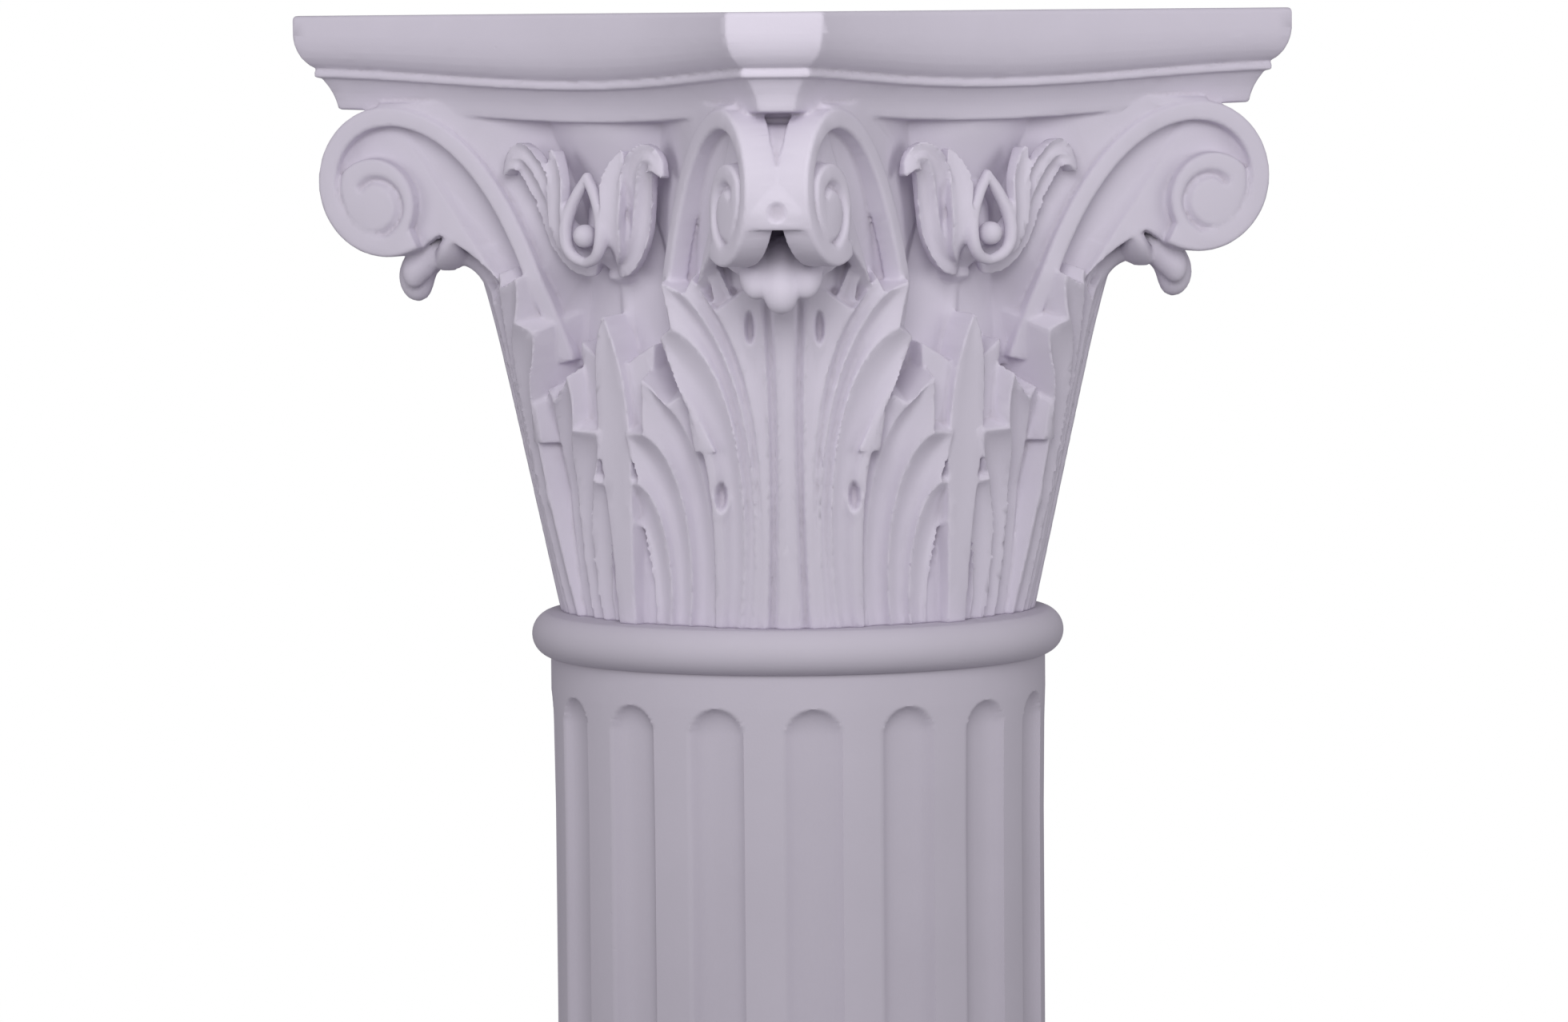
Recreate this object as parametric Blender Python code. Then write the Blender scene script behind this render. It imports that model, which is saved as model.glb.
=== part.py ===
"""A Corinthian column cast in plaster: capital, fluted shaft with its astragal, and a plain moulded base.

Metres, +Z up. The origin is the centre of the plinth's underside. Plinth and abacus sides lie along X and Y,
so the horns of the abacus, the corner leaves and the volutes are on the diagonals.
"""

import math

import bmesh
import bpy
from mathutils import Matrix, Vector

for old in list(bpy.data.objects):
    bpy.data.objects.remove(old, do_unlink=True)

# Heights of the three castings
TOTAL_HEIGHT = 1.200
CAPITAL_HEIGHT = 0.302
BASE_HEIGHT = 0.128
JOINT_GAP = 0.0003

# Corners of a union that lie closer than this are one corner
WELD = 0.00005

# Abacus: profile steps are (inset from the top edge, drop below the top)
ABACUS_TIP = 0.250
ABACUS_TIP_WIDTH = 0.0456
ABACUS_HOLLOW = 0.035
ABACUS_SAG = 0.0065
ABACUS_FACE = 0.0133
ABACUS_OVOLO_INSET = 0.0093
ABACUS_OVOLO_DROP = 0.0254
ABACUS_FILLET_DROP = 0.0305
ABACUS_CAVETTO_INSET = 0.0210
ABACUS_CAVETTO_DROP = 0.0466
ABACUS_SIDE_STEPS = 6

# Bell: radius at the foot, at half height and at the lip
BELL_FOOT_RADIUS = 0.1088
BELL_MID_RADIUS = 0.1125
BELL_LIP_RADIUS = 0.1332
BELL_LIP_SHARE = 0.815
BELL_WAIST_SHARE = 0.5
BELL_FLARE = 1.8
BELL_SEGMENTS = 32

# Leaves: heights along a leaf are shares of the capital's height, angles are degrees from the leaf's axis
LEAF_FOOT_RADIUS = 0.1166
LEAF_LEAN = 0.0655
LEAF_ROUNDING = 0.0060
LEAF_CHANNEL = 0.0036
CHANNEL_FADE = (0.15, 0.95)
LEAF_EDGE_ANGLE = 25.0
SIDE_FAN_STEP_BACK = 0.0130
SIDE_FAN_LEAN = 0.0100
SIDE_FAN_ANGLE = 18.0
MIDRIB_RISE = 0.0012
LEAF_SWEEP = 2.5
PALM_SHARE = 0.92
LEAF_WALL_DRAFT = 0.034
WALL_SPREAD = 0.012
WALL_BACK = 0.0045

# Curled tip of the corner leaf
CURL_HALF_WIDTH = 0.0180
CURL_REACH = 0.2030
CURL_TOP_DEPTH = 0.1110
CURL_TIP_DEPTH = 0.1475
CURL_LOBE = 0.0028

# Middle leaf, between the corner leaves
MIDDLE_LEAF_STAND = 0.0138
MIDDLE_STEM_STAND = 0.0045
MIDDLE_LEAF_SHARE = 0.45

# Stem, ring, cup and leaves under each volute pair's meeting, at mid side
STEM_RADIUS = 0.0083
STEM_AXIS_RADIUS = 0.1085
RING_RADIUS = 0.0125
RING_SHARE = 0.560
CUP_RADIUS = 0.0115
CUP_AXIS_RADIUS = 0.1290
CUP_FOOT_SHARE = 0.575
CUP_TOP_SHARE = 0.735
SHEATH_FOOT_RADIUS = 0.1200
SHEATH_TOP_RADIUS = 0.1430
SHEATH_TOP_SHARE = 0.765
SHEATH_EAR = 0.0060
SHEATH_EAR_ANGLE = 18.0

# Volutes
NOSE_DISTANCE = 0.2393
NOSE_HALF_WIDTH = 0.0145
VOLUTE_SPLAY = 22.0
VOLUTE_THICKNESS = 0.0170
CUTTER_REACH = 0.0020
SCROLL_RADIUS = 0.0376
SCROLL_DEPTH = 0.0835
SCROLL_GROOVE_OUTER = 0.0262
SCROLL_GROOVE_INNER = 0.0150
SCROLL_GROOVE_DEPTH = 0.0046
STALK_FOOT_RUN = 0.0990
STALK_FOOT_DEPTH = 0.1720
STALK_FOOT_WIDTH = 0.0166
STALK_BEND_SHARE = 0.656
STALK_BEND_DROP = 0.0010

# Shoulder: the body's flare behind each stalk, sunk a little below the plate's face
SHOULDER_RUN = 0.150
SHOULDER_TOP_DEPTH = 0.0440
SHOULDER_LAP = 0.0040
SHOULDER_SINK = 0.0025
SHOULDER_SLOPE = 0.050

# Shaft
NECK_RADIUS = 0.1250
SHAFT_RADIUS = 0.1239
ASTRAGAL_RADIUS = 0.1344
ASTRAGAL_TUBE = 0.0117
BED_RADIUS = 0.1180
NECK_BAND = 0.0170
NECK_EASE = 0.0600
SHAFT_FOOT_RADIUS = 0.1310
SHAFT_FOOT_FILLET = 0.0100
SHAFT_FOOT_EASE = 0.0200
FLUTE_COUNT = 16
FLUTE_WIDTH = 0.0273
FLUTE_DEPTH = 0.0062
FLUTE_TURN = 5.4
FLUTE_FOOT_CLEAR = 0.0120
ROUND_SEGMENTS = 32

# Base
PLINTH_SIDE = 0.360
PLINTH_HEIGHT = 0.056
PLINTH_EDGE = 0.002
LOWER_TORUS_RADIUS = 0.171
LOWER_TORUS_HEIGHT = 0.034
SCOTIA_TOP_RADIUS = 0.142
UPPER_TORUS_RADIUS = 0.148
UPPER_TORUS_HEIGHT = 0.016

CAPITAL_FOOT = TOTAL_HEIGHT - CAPITAL_HEIGHT
HALF_TURN = math.pi
QUARTER_TURN = math.pi / 2


def polar(radius, degrees, height):
    turn = math.radians(degrees)
    return Vector((radius * math.cos(turn), radius * math.sin(turn), height))


def blend(low, high, share):
    return low + (high - low) * share


def mesh_object(name, points, faces):
    mesh = bpy.data.meshes.new(name)
    mesh.from_pydata([tuple(p) for p in points], [], faces)
    shape = bmesh.new()
    shape.from_mesh(mesh)
    bmesh.ops.recalc_face_normals(shape, faces=shape.faces)
    bmesh.ops.triangulate(shape, faces=[f for f in shape.faces if len(f.verts) == 4])
    shape.to_mesh(mesh)
    shape.free()
    made = bpy.data.objects.new(name, mesh)
    bpy.context.scene.collection.objects.link(made)
    return made


def zip_rings(first, second, points):
    """Faces between two closed rings of point numbers that both run counter-clockwise round the Z axis."""
    if len(first) == len(second):
        count = len(first)
        return [(first[i], first[(i + 1) % count], second[(i + 1) % count], second[i]) for i in range(count)]

    def turn(number):
        return math.atan2(points[number].y, points[number].x) % (2 * HALF_TURN)

    first = sorted(first, key=turn)
    second = sorted(second, key=turn)
    faces = []
    i = j = 0
    while i < len(first) or j < len(second):
        next_first = turn(first[i]) if i < len(first) else math.inf
        next_second = turn(second[j]) if j < len(second) else math.inf
        a, b = first[i - 1], second[j - 1]
        if next_first <= next_second:
            faces.append((a, first[i], b))
            i += 1
        else:
            faces.append((a, second[j], b))
            j += 1
    return faces


def stacked_rings(name, rings):
    """A closed solid through rings of points, with a flat cap on the first and the last."""
    points = []
    numbers = []
    for ring in rings:
        numbers.append(list(range(len(points), len(points) + len(ring))))
        points.extend(ring)
    faces = [tuple(numbers[0]), tuple(numbers[-1])]
    for low, high in zip(numbers, numbers[1:]):
        faces.extend(zip_rings(low, high, points))
    return mesh_object(name, points, faces)


def circle(radius, height, segments):
    return [polar(radius, 360 * i / segments, height) for i in range(segments)]


def curve(start, control, end, share):
    """A point on the bent line that leaves start toward control and arrives at end."""
    toward = [blend(a, b, share) for a, b in zip(start, control)]
    arriving = [blend(b, c, share) for b, c in zip(control, end)]
    return tuple(blend(a, b, share) for a, b in zip(toward, arriving))


def evaluated_mesh(made):
    bpy.context.view_layer.update()
    graph = bpy.context.evaluated_depsgraph_get()
    result = bpy.data.meshes.new_from_object(made.evaluated_get(graph))
    made.modifiers.clear()
    made.data = result
    return made


def joined(first, others):
    """The union of closed solids, as one mesh in the first object."""
    for other in others:
        union = first.modifiers.new("union", "BOOLEAN")
        union.operation = "UNION"
        union.solver = "EXACT"
        union.object = other
        evaluated_mesh(first)
        bpy.data.objects.remove(other, do_unlink=True)
    return first


def welded(made):
    """Merges corners that a union leaves a hair apart."""
    shape = bmesh.new()
    shape.from_mesh(made.data)
    bmesh.ops.remove_doubles(shape, verts=shape.verts, dist=WELD)
    bmesh.ops.dissolve_degenerate(shape, edges=shape.edges, dist=WELD / 2)
    shape.to_mesh(made.data)
    shape.free()
    return made


def cut(first, cutter):
    cutter.hide_render = True
    cutter.display_type = "WIRE"
    difference = first.modifiers.new("cut", "BOOLEAN")
    difference.operation = "DIFFERENCE"
    difference.solver = "EXACT"
    difference.object = cutter
    evaluated_mesh(first)
    bpy.data.objects.remove(cutter, do_unlink=True)
    return first


def turned_copy(source, name, degrees):
    copy = bpy.data.objects.new(name, source.data.copy())
    copy.data.transform(Matrix.Rotation(math.radians(degrees), 4, "Z"))
    bpy.context.scene.collection.objects.link(copy)
    return copy


def mirrored_copy(source, name):
    """A copy reflected in the XZ plane, still facing outward."""
    copy = bpy.data.objects.new(name, source.data.copy())
    copy.data.transform(Matrix.Scale(-1, 4, Vector((0, 1, 0))))
    copy.data.flip_normals()
    bpy.context.scene.collection.objects.link(copy)
    return copy


# The capital is made standing on its own foot, and lifted into place at the end

def capital_z(share):
    return share * CAPITAL_HEIGHT


def below_top(depth):
    return CAPITAL_HEIGHT - depth


def bell_radius(share):
    if share < BELL_WAIST_SHARE:
        return blend(BELL_FOOT_RADIUS, BELL_MID_RADIUS, (share / BELL_WAIST_SHARE) ** 2)
    rise = min((share - BELL_WAIST_SHARE) / (BELL_LIP_SHARE - BELL_WAIST_SHARE), 1.0)
    return blend(BELL_MID_RADIUS, BELL_LIP_RADIUS, rise**BELL_FLARE)


def bell():
    shares = (0.0, 0.40, 0.64, 0.76, BELL_LIP_SHARE)
    rings = [circle(bell_radius(share), capital_z(share), BELL_SEGMENTS) for share in shares]
    lip_top = below_top((ABACUS_FILLET_DROP + ABACUS_CAVETTO_DROP) / 2)
    rings.append(circle(BELL_LIP_RADIUS, lip_top, BELL_SEGMENTS))
    return stacked_rings("bell", rings)


# Abacus

def abacus_ring(inset, drop, sag):
    """One level of the abacus: four hollow sides between four cut horns."""
    tip = ABACUS_TIP
    half = ABACUS_TIP_WIDTH / 2
    corner_x = (tip + half) / math.sqrt(2)
    corner_y = (tip - half) / math.sqrt(2)
    hollow_radius = (corner_y**2 + ABACUS_HOLLOW**2) / (2 * ABACUS_HOLLOW)
    centre = corner_x - ABACUS_HOLLOW + hollow_radius
    radius = hollow_radius + inset
    # Where the hollow side meets the cut horn at this inset: x + y is fixed on the horn's face
    total = (tip - inset) * math.sqrt(2)
    b = centre + total
    x = (b - math.sqrt(b * b - 2 * (centre**2 + total**2 - radius**2))) / 2
    end_turn = math.asin((total - x) / radius)
    ring = []
    for side in range(4):
        for step in range(ABACUS_SIDE_STEPS + 1):
            along = 2 * step / ABACUS_SIDE_STEPS - 1
            turn = along * end_turn
            here = Vector((centre - radius * math.cos(turn), radius * math.sin(turn), 0))
            here.rotate(Matrix.Rotation(side * QUARTER_TURN, 3, "Z"))
            here.z = below_top(drop + sag * math.cos(along * QUARTER_TURN) ** 1.5)
            ring.append(here)
    return ring


def abacus():
    ovolo = ABACUS_OVOLO_DROP - ABACUS_FACE
    middle = math.sin(QUARTER_TURN / 2)
    levels = (
        (ABACUS_CAVETTO_INSET, ABACUS_CAVETTO_DROP, 1.0),
        (ABACUS_OVOLO_INSET * 1.2, ABACUS_FILLET_DROP, 1.0),
        (ABACUS_OVOLO_INSET, ABACUS_OVOLO_DROP, 1.0),
        (ABACUS_OVOLO_INSET * (1 - middle), ABACUS_FACE + ovolo * middle, 0.8),
        (0.0, ABACUS_FACE, 0.4),
        (0.0, 0.0, 0.0),
    )
    rings = [abacus_ring(inset, drop, share * ABACUS_SAG) for inset, drop, share in levels]
    return stacked_rings("abacus", rings)


# Leaves: a fan is a sheet of long blades, described by rays that run from the leaf's foot to a tip or a notch

def fan(name, rays, rows, radius_of, back_of, foot_share):
    """A closed solid: the carved sheet in front, plain walls, and a plain sheet inside the bell.

    Each ray is (foot angle, end angle, end share, channel), ordered across the fan. Rays with a channel end in
    a tip, and the others in the notch between two tips. All rays sweep to the line of the notches, and the last
    row steps from there to the tips.
    """
    front = []
    back = []
    for number, (foot, end_angle, end_share, channel) in enumerate(rays):
        palm_angle, palm_share = end_angle, end_share
        if channel and 0 < number < len(rays) - 1:
            before, after = rays[number - 1], rays[number + 1]
            palm_angle, palm_share = (before[1] + after[1]) / 2, (before[2] + after[2]) / 2
        for row in range(rows + 1):
            along = PALM_SHARE * row / (rows - 1)
            angle = foot + (palm_angle - foot) * along**LEAF_SWEEP
            share = foot_share + (palm_share - foot_share) * along
            if row == rows:
                along, angle, share = 1.0, end_angle, end_share
            carved = channel * LEAF_CHANNEL * math.sin(HALF_TURN * blend(*CHANNEL_FADE, along))
            front.append(polar(radius_of(share, angle) - carved, angle, capital_z(share)))
            back_share = share + LEAF_WALL_DRAFT * along**3
            back.append(polar(back_of(back_share), angle * (1 + WALL_SPREAD * along), capital_z(back_share)))
    points = front + back
    behind = len(front)
    width = rows + 1
    faces = []
    for i in range(len(rays) - 1):
        for j in range(rows - 1):
            a, b = i * width + j, (i + 1) * width + j
            faces.append((a, b, b + 1, a + 1))
            faces.append((behind + a, behind + a + 1, behind + b + 1, behind + b))
        # In the last row the split starts in the notch, so a narrow tooth doesn't fold over itself
        a, b = i * width + rows - 1, (i + 1) * width + rows - 1
        if rays[i][3]:
            halves = ((a, b, b + 1), (a, b + 1, a + 1))
        else:
            halves = ((a, b, a + 1), (a + 1, b, b + 1))
        for one, two, three in halves:
            faces.append((one, two, three))
            faces.append((behind + one, behind + three, behind + two))
        foot_a, foot_b = i * width, (i + 1) * width
        faces.append((foot_a, behind + foot_a, behind + foot_b, foot_b))
        end_a, end_b = foot_a + rows, foot_b + rows
        faces.append((end_a, end_b, behind + end_b, behind + end_a))
    last = (len(rays) - 1) * width
    for j in range(rows):
        faces.append((j, j + 1, behind + j + 1, behind + j))
        faces.append((last + j, behind + last + j, behind + last + j + 1, last + j + 1))
    return mesh_object(name, points, faces)


def both_sides(half):
    """Rays of a symmetrical fan from those of its left half, the middle ray last."""
    other = [(-foot, -end, end_share, channel) for foot, end, end_share, channel in half]
    return half + other[-2::-1]


def behind_bell(share):
    return bell_radius(share) - WALL_BACK


def main_leaf_radius(share, angle):
    spread = (angle / LEAF_EDGE_ANGLE) ** 2
    midrib = MIDRIB_RISE if abs(angle) < 1 else 0
    return LEAF_FOOT_RADIUS + LEAF_LEAN * share - LEAF_ROUNDING * spread + midrib


def side_fan_radius(share, angle):
    step_back = SIDE_FAN_STEP_BACK * min(1.0, 0.35 + 3 * share)
    return main_leaf_radius(share, SIDE_FAN_ANGLE) - step_back + SIDE_FAN_LEAN * share


MAIN_LEAF_HALF = [
    (19.2, 20.4, 0.288, 0.0),
    (16.0, 25.4, 0.482, 1.0),
    (13.2, 22.8, 0.462, 0.0),
    (11.4, 23.4, 0.572, 1.0),
    (9.2, 19.6, 0.548, 0.0),
    (7.6, 17.6, 0.576, 1.0),
    (5.6, 12.6, 0.524, 0.0),
    (3.4, 5.6, 0.560, 0.8),
    (0.0, 0.0, 0.570, 0.0),
]

SIDE_FAN = [
    (35.0, 40.0, 0.205, 0.0),
    (32.6, 41.2, 0.238, 0.7),
    (30.0, 37.4, 0.226, 0.0),
    (27.6, 39.2, 0.322, 1.0),
    (25.0, 35.4, 0.300, 0.0),
    (22.0, 34.2, 0.402, 1.0),
    (18.4, 25.6, 0.358, 0.0),
    (14.0, 14.0, 0.330, 0.0),
]

MIDDLE_LEAF_HALF = [
    (3.4, 4.6, 0.340, 0.0),
    (2.6, 13.6, 0.446, 0.6),
    (1.6, 6.0, 0.424, 0.0),
    (0.0, 0.0, 0.506, 0.0),
]

SHEATH_HALF = [
    (5.0, 14.0, 0.700, 0.0),
    (4.2, 18.5, 0.762, 0.7),
    (3.2, 10.0, 0.722, 0.0),
    (1.8, 6.2, 0.768, 0.7),
    (0.0, 0.0, 0.730, 0.0),
]


def middle_leaf_radius(share, angle):
    stand = blend(MIDDLE_STEM_STAND, MIDDLE_LEAF_STAND, min(share / MIDDLE_LEAF_SHARE, 1.0))
    return bell_radius(share) + stand


def sheath_radius(share, angle):
    rise = (share - CUP_FOOT_SHARE) / (SHEATH_TOP_SHARE - CUP_FOOT_SHARE)
    lean = blend(SHEATH_FOOT_RADIUS, SHEATH_TOP_RADIUS, rise)
    return lean + SHEATH_EAR * (angle / SHEATH_EAR_ANGLE) ** 2


def curled_tip():
    """The leaf's tip, which rolls outward over the top and hangs.

    Stations are (outer radius, outer depth, inner radius, inner depth).
    """
    drop = CURL_TIP_DEPTH - CURL_TOP_DEPTH
    root = LEAF_FOOT_RADIUS + LEAF_LEAN * 0.5
    run = CURL_REACH - root
    stations = (
        (root - 0.008, CURL_TOP_DEPTH + 0.05 * drop, root - 0.008, CURL_TIP_DEPTH - 0.25 * drop),
        (root + 0.22 * run, CURL_TOP_DEPTH, root + 0.10 * run, CURL_TOP_DEPTH + 0.60 * drop),
        (root + 0.74 * run, CURL_TOP_DEPTH + 0.06 * drop, root + 0.42 * run, CURL_TOP_DEPTH + 0.44 * drop),
        (CURL_REACH, CURL_TOP_DEPTH + 0.38 * drop, root + 0.56 * run, CURL_TOP_DEPTH + 0.58 * drop),
        (root + 0.90 * run, CURL_TOP_DEPTH + 0.72 * drop, root + 0.61 * run, CURL_TOP_DEPTH + 0.76 * drop),
        (root + 0.74 * run, CURL_TIP_DEPTH, root + 0.67 * run, CURL_TIP_DEPTH - 0.04 * drop),
    )
    across = (-1.0, -0.45, 0.45, 1.0)
    rings = []
    for number, (outer, outer_depth, inner, inner_depth) in enumerate(stations):
        hanging = number / (len(stations) - 1)
        width = CURL_HALF_WIDTH * (1 - 0.12 * hanging**4)
        outer_row = []
        for side in across:
            lobe = CURL_LOBE * (1 - 2.2 * abs(side)) * hanging
            lift = 0.16 * drop * abs(side) ** 1.5 * hanging**3
            outer_row.append(Vector((outer + lobe, side * width, below_top(outer_depth - lift))))
        inner_row = [Vector((inner, side * width, below_top(inner_depth))) for side in (1.0, -1.0)]
        rings.append(outer_row + inner_row)
    return stacked_rings("curled_tip", rings)


def on_scroll(radius, turn):
    """A point round the scroll's centre in the plate's own plane: its run from the centre and its depth."""
    return radius * math.cos(turn), SCROLL_DEPTH + radius * math.sin(turn)


def on_plate(run, depth, inward):
    """From the volute's own plane to the capital, for the +Y volute of the corner that lies on +X."""
    splay = math.radians(VOLUTE_SPLAY)
    along = run + SCROLL_RADIUS
    x = NOSE_DISTANCE - along * math.cos(splay) - inward * math.sin(splay)
    y = NOSE_HALF_WIDTH + along * math.sin(splay) - inward * math.cos(splay)
    return Vector((x, y, below_top(depth)))


def stalk_edge(share):
    """The stalk's upper edge, from the scroll's top to the stalk's foot, in the plate's own plane."""
    top = (0.0, SCROLL_DEPTH - SCROLL_RADIUS)
    bend = (STALK_BEND_SHARE * STALK_FOOT_RUN, top[1] + STALK_BEND_DROP)
    return curve(top, bend, (STALK_FOOT_RUN, STALK_FOOT_DEPTH), share)


def volute():
    foot_inner = (STALK_FOOT_RUN - STALK_FOOT_WIDTH, STALK_FOOT_DEPTH)
    bottom_turn = math.radians(72)
    bottom = on_scroll(SCROLL_RADIUS, bottom_turn)
    bend_inner = (0.68 * STALK_FOOT_RUN, bottom[1])
    outline = [stalk_edge(share) for share in (0.0, 0.25, 0.5, 0.75, 1.0)]
    outline += [curve(foot_inner, bend_inner, bottom, share) for share in (0.0, 0.5)]
    arc_steps = 9
    for i in range(arc_steps):
        outline.append(on_scroll(SCROLL_RADIUS, blend(bottom_turn, 3 * QUARTER_TURN, i / arc_steps)))
    rings = [[on_plate(run, depth, inward) for run, depth in outline] for inward in (0.0, VOLUTE_THICKNESS)]
    plate = stacked_rings("volute", rings)
    steps = 8
    corners = (
        (SCROLL_GROOVE_OUTER, -CUTTER_REACH),
        (SCROLL_GROOVE_OUTER, SCROLL_GROOVE_DEPTH),
        (SCROLL_GROOVE_INNER, SCROLL_GROOVE_DEPTH),
        (SCROLL_GROOVE_INNER, -CUTTER_REACH),
    )
    points = []
    for radius, inward in corners:
        for i in range(steps):
            points.append(on_plate(*on_scroll(radius, 4 * QUARTER_TURN * i / steps), inward))
    faces = []
    for ring in range(len(corners)):
        after = (ring + 1) % len(corners)
        for i in range(steps):
            a, b = ring * steps + i, ring * steps + (i + 1) % steps
            c, d = after * steps + (i + 1) % steps, after * steps + i
            faces.append((a, b, c, d))
    return cut(plate, mesh_object("groove", points, faces))


def shoulder():
    """The flare of the body that fills the space between a stalk, the bell and the abacus, out to the scroll."""
    edge = [stalk_edge(share) for share in (1.0, 0.75, 0.5, 0.25, 0.0)]
    outline = [(run - SHOULDER_LAP, depth + SHOULDER_LAP) for run, depth in edge]
    outline += [(-SHOULDER_LAP, SHOULDER_TOP_DEPTH), (SHOULDER_RUN, SHOULDER_TOP_DEPTH)]
    outline += [(SHOULDER_RUN, STALK_FOOT_DEPTH)]
    faces = []
    for run, depth in outline:
        sink = SHOULDER_SINK + SHOULDER_SLOPE * (depth - SHOULDER_TOP_DEPTH)
        faces.append(on_plate(run, depth, sink))
    middle = [Vector((point.x, -SHOULDER_LAP, point.z)) for point in faces]
    return stacked_rings("shoulder", [faces, middle])


def round_post(name, levels, segments):
    """A turned post standing on the mid-side axis: levels are (axis radius, height share, post radius)."""
    rings = []
    for axis, share, radius in levels:
        ring = []
        for i in range(segments):
            turn = 2 * HALF_TURN * i / segments
            ring.append(Vector((axis + radius * math.cos(turn), radius * math.sin(turn), capital_z(share))))
        rings.append(ring)
    return stacked_rings(name, rings)


def stem_and_cup():
    stem = round_post(
        "stem",
        (
            (STEM_AXIS_RADIUS, 0.42, STEM_RADIUS * 0.8),
            (STEM_AXIS_RADIUS, RING_SHARE - 0.004, STEM_RADIUS),
            (STEM_AXIS_RADIUS + 0.002, RING_SHARE, RING_RADIUS),
            (STEM_AXIS_RADIUS + 0.002, RING_SHARE + 0.012, RING_RADIUS),
        ),
        6,
    )
    middle = (CUP_FOOT_SHARE + CUP_TOP_SHARE) / 2
    cup = round_post(
        "cup",
        (
            (CUP_AXIS_RADIUS - 0.007, CUP_FOOT_SHARE - 0.02, CUP_RADIUS * 0.35),
            (CUP_AXIS_RADIUS - 0.002, CUP_FOOT_SHARE + 0.03, CUP_RADIUS * 0.9),
            (CUP_AXIS_RADIUS, middle, CUP_RADIUS),
            (CUP_AXIS_RADIUS - 0.004, CUP_TOP_SHARE, CUP_RADIUS * 0.4),
        ),
        5,
    )
    return [stem, cup]


def capital():
    corner = fan("main_leaf", both_sides(MAIN_LEAF_HALF), 5, main_leaf_radius, behind_bell, 0.0)
    left = fan("side_fan", SIDE_FAN, 4, side_fan_radius, behind_bell, 0.0)
    right = mirrored_copy(left, "side_fan_right")
    scroll = joined(volute(), [shoulder()])
    other_scroll = mirrored_copy(scroll, "other_volute")
    joined(corner, [left, right, curled_tip(), scroll, other_scroll])
    side = fan("middle_leaf", both_sides(MIDDLE_LEAF_HALF), 3, middle_leaf_radius, behind_bell, 0.0)
    sheath = fan("sheath", both_sides(SHEATH_HALF), 2, sheath_radius, behind_bell, CUP_FOOT_SHARE - 0.01)
    joined(side, stem_and_cup() + [sheath])
    body = bell()
    corners = [turned_copy(corner, f"corner_{i}", 45 + 90 * i) for i in range(4)]
    sides = [turned_copy(side, f"side_{i}", 90 * i) for i in range(4)]
    for source in (corner, side):
        bpy.data.objects.remove(source, do_unlink=True)
    body.name = "capital"
    welded(joined(body, sides + corners + [abacus()]))
    body.data.transform(Matrix.Translation((0, 0, CAPITAL_FOOT)))
    return body


# Shaft

def flute_ring(height, width_share, depth_share, radius):
    """A ring of the shaft with every flute cut to these shares of its full width and depth."""
    half = math.degrees(FLUTE_WIDTH / 2 / SHAFT_RADIUS)
    ring = []
    for flute in range(FLUTE_COUNT):
        middle = FLUTE_TURN + 360 / FLUTE_COUNT * flute
        for across, depth in ((-1.0, 0.0), (-0.6, 0.8), (0.0, 1.0), (0.6, 0.8), (1.0, 0.0)):
            turn = middle + across * half * max(width_share, 0.15)
            ring.append(polar(radius - FLUTE_DEPTH * depth * depth_share, turn, height))
    return ring


def shaft_radius(height, neck_foot):
    """Nearly straight, easing out to the neck."""
    rise = min(max((height - (neck_foot - NECK_EASE)) / NECK_EASE, 0), 1)
    return blend(SHAFT_RADIUS, NECK_RADIUS, rise**2)


def shaft():
    foot = BASE_HEIGHT + JOINT_GAP
    bed = CAPITAL_FOOT - JOINT_GAP
    tube_centre = ASTRAGAL_RADIUS - ASTRAGAL_TUBE
    tube_height = bed - math.sqrt(ASTRAGAL_TUBE**2 - (tube_centre - BED_RADIUS) ** 2)
    neck_top = tube_height - ASTRAGAL_TUBE * 0.97
    neck_foot = neck_top - NECK_BAND
    straight_foot = foot + SHAFT_FOOT_FILLET + SHAFT_FOOT_EASE
    ease_foot = foot + SHAFT_FOOT_FILLET
    rings = [
        circle(SHAFT_FOOT_RADIUS, foot, ROUND_SEGMENTS),
        circle(SHAFT_FOOT_RADIUS, ease_foot, ROUND_SEGMENTS),
        circle(blend(SHAFT_RADIUS, SHAFT_FOOT_RADIUS, 0.35), ease_foot + 0.3 * SHAFT_FOOT_EASE, ROUND_SEGMENTS),
        circle(SHAFT_RADIUS, straight_foot, ROUND_SEGMENTS),
    ]
    half = FLUTE_WIDTH / 2
    low = straight_foot + FLUTE_FOOT_CLEAR
    for sine in (1.0, 0.75, 0.0):
        share = math.sqrt(1 - sine**2)
        rings.append(flute_ring(low + half * (1 - sine), share, share, SHAFT_RADIUS))
    for sine in (0.0, 0.75, 1.0):
        share = math.sqrt(1 - sine**2)
        height = neck_foot - half * (1 - sine)
        rings.append(flute_ring(height, share, share, shaft_radius(height, neck_foot)))
    rings.append(circle(NECK_RADIUS, neck_top, ROUND_SEGMENTS))
    start = -math.acos((NECK_RADIUS - tube_centre) / ASTRAGAL_TUBE)
    end = HALF_TURN - math.acos((tube_centre - BED_RADIUS) / ASTRAGAL_TUBE)
    steps = 5
    for i in range(steps + 1):
        turn = blend(start, end, i / steps)
        height = bed if i == steps else tube_height + ASTRAGAL_TUBE * math.sin(turn)
        rings.append(circle(tube_centre + ASTRAGAL_TUBE * math.cos(turn), height, ROUND_SEGMENTS))
    return stacked_rings("shaft", rings)


# Base

def half_round(centre_height, half_height, outer_radius, steps):
    """Radius and height along a torus, lower edge first."""
    made = []
    for i in range(steps + 1):
        turn = blend(-QUARTER_TURN, QUARTER_TURN, i / steps)
        radius = outer_radius - half_height * (1 - math.cos(turn))
        made.append((radius, centre_height + half_height * math.sin(turn)))
    return made


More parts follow.
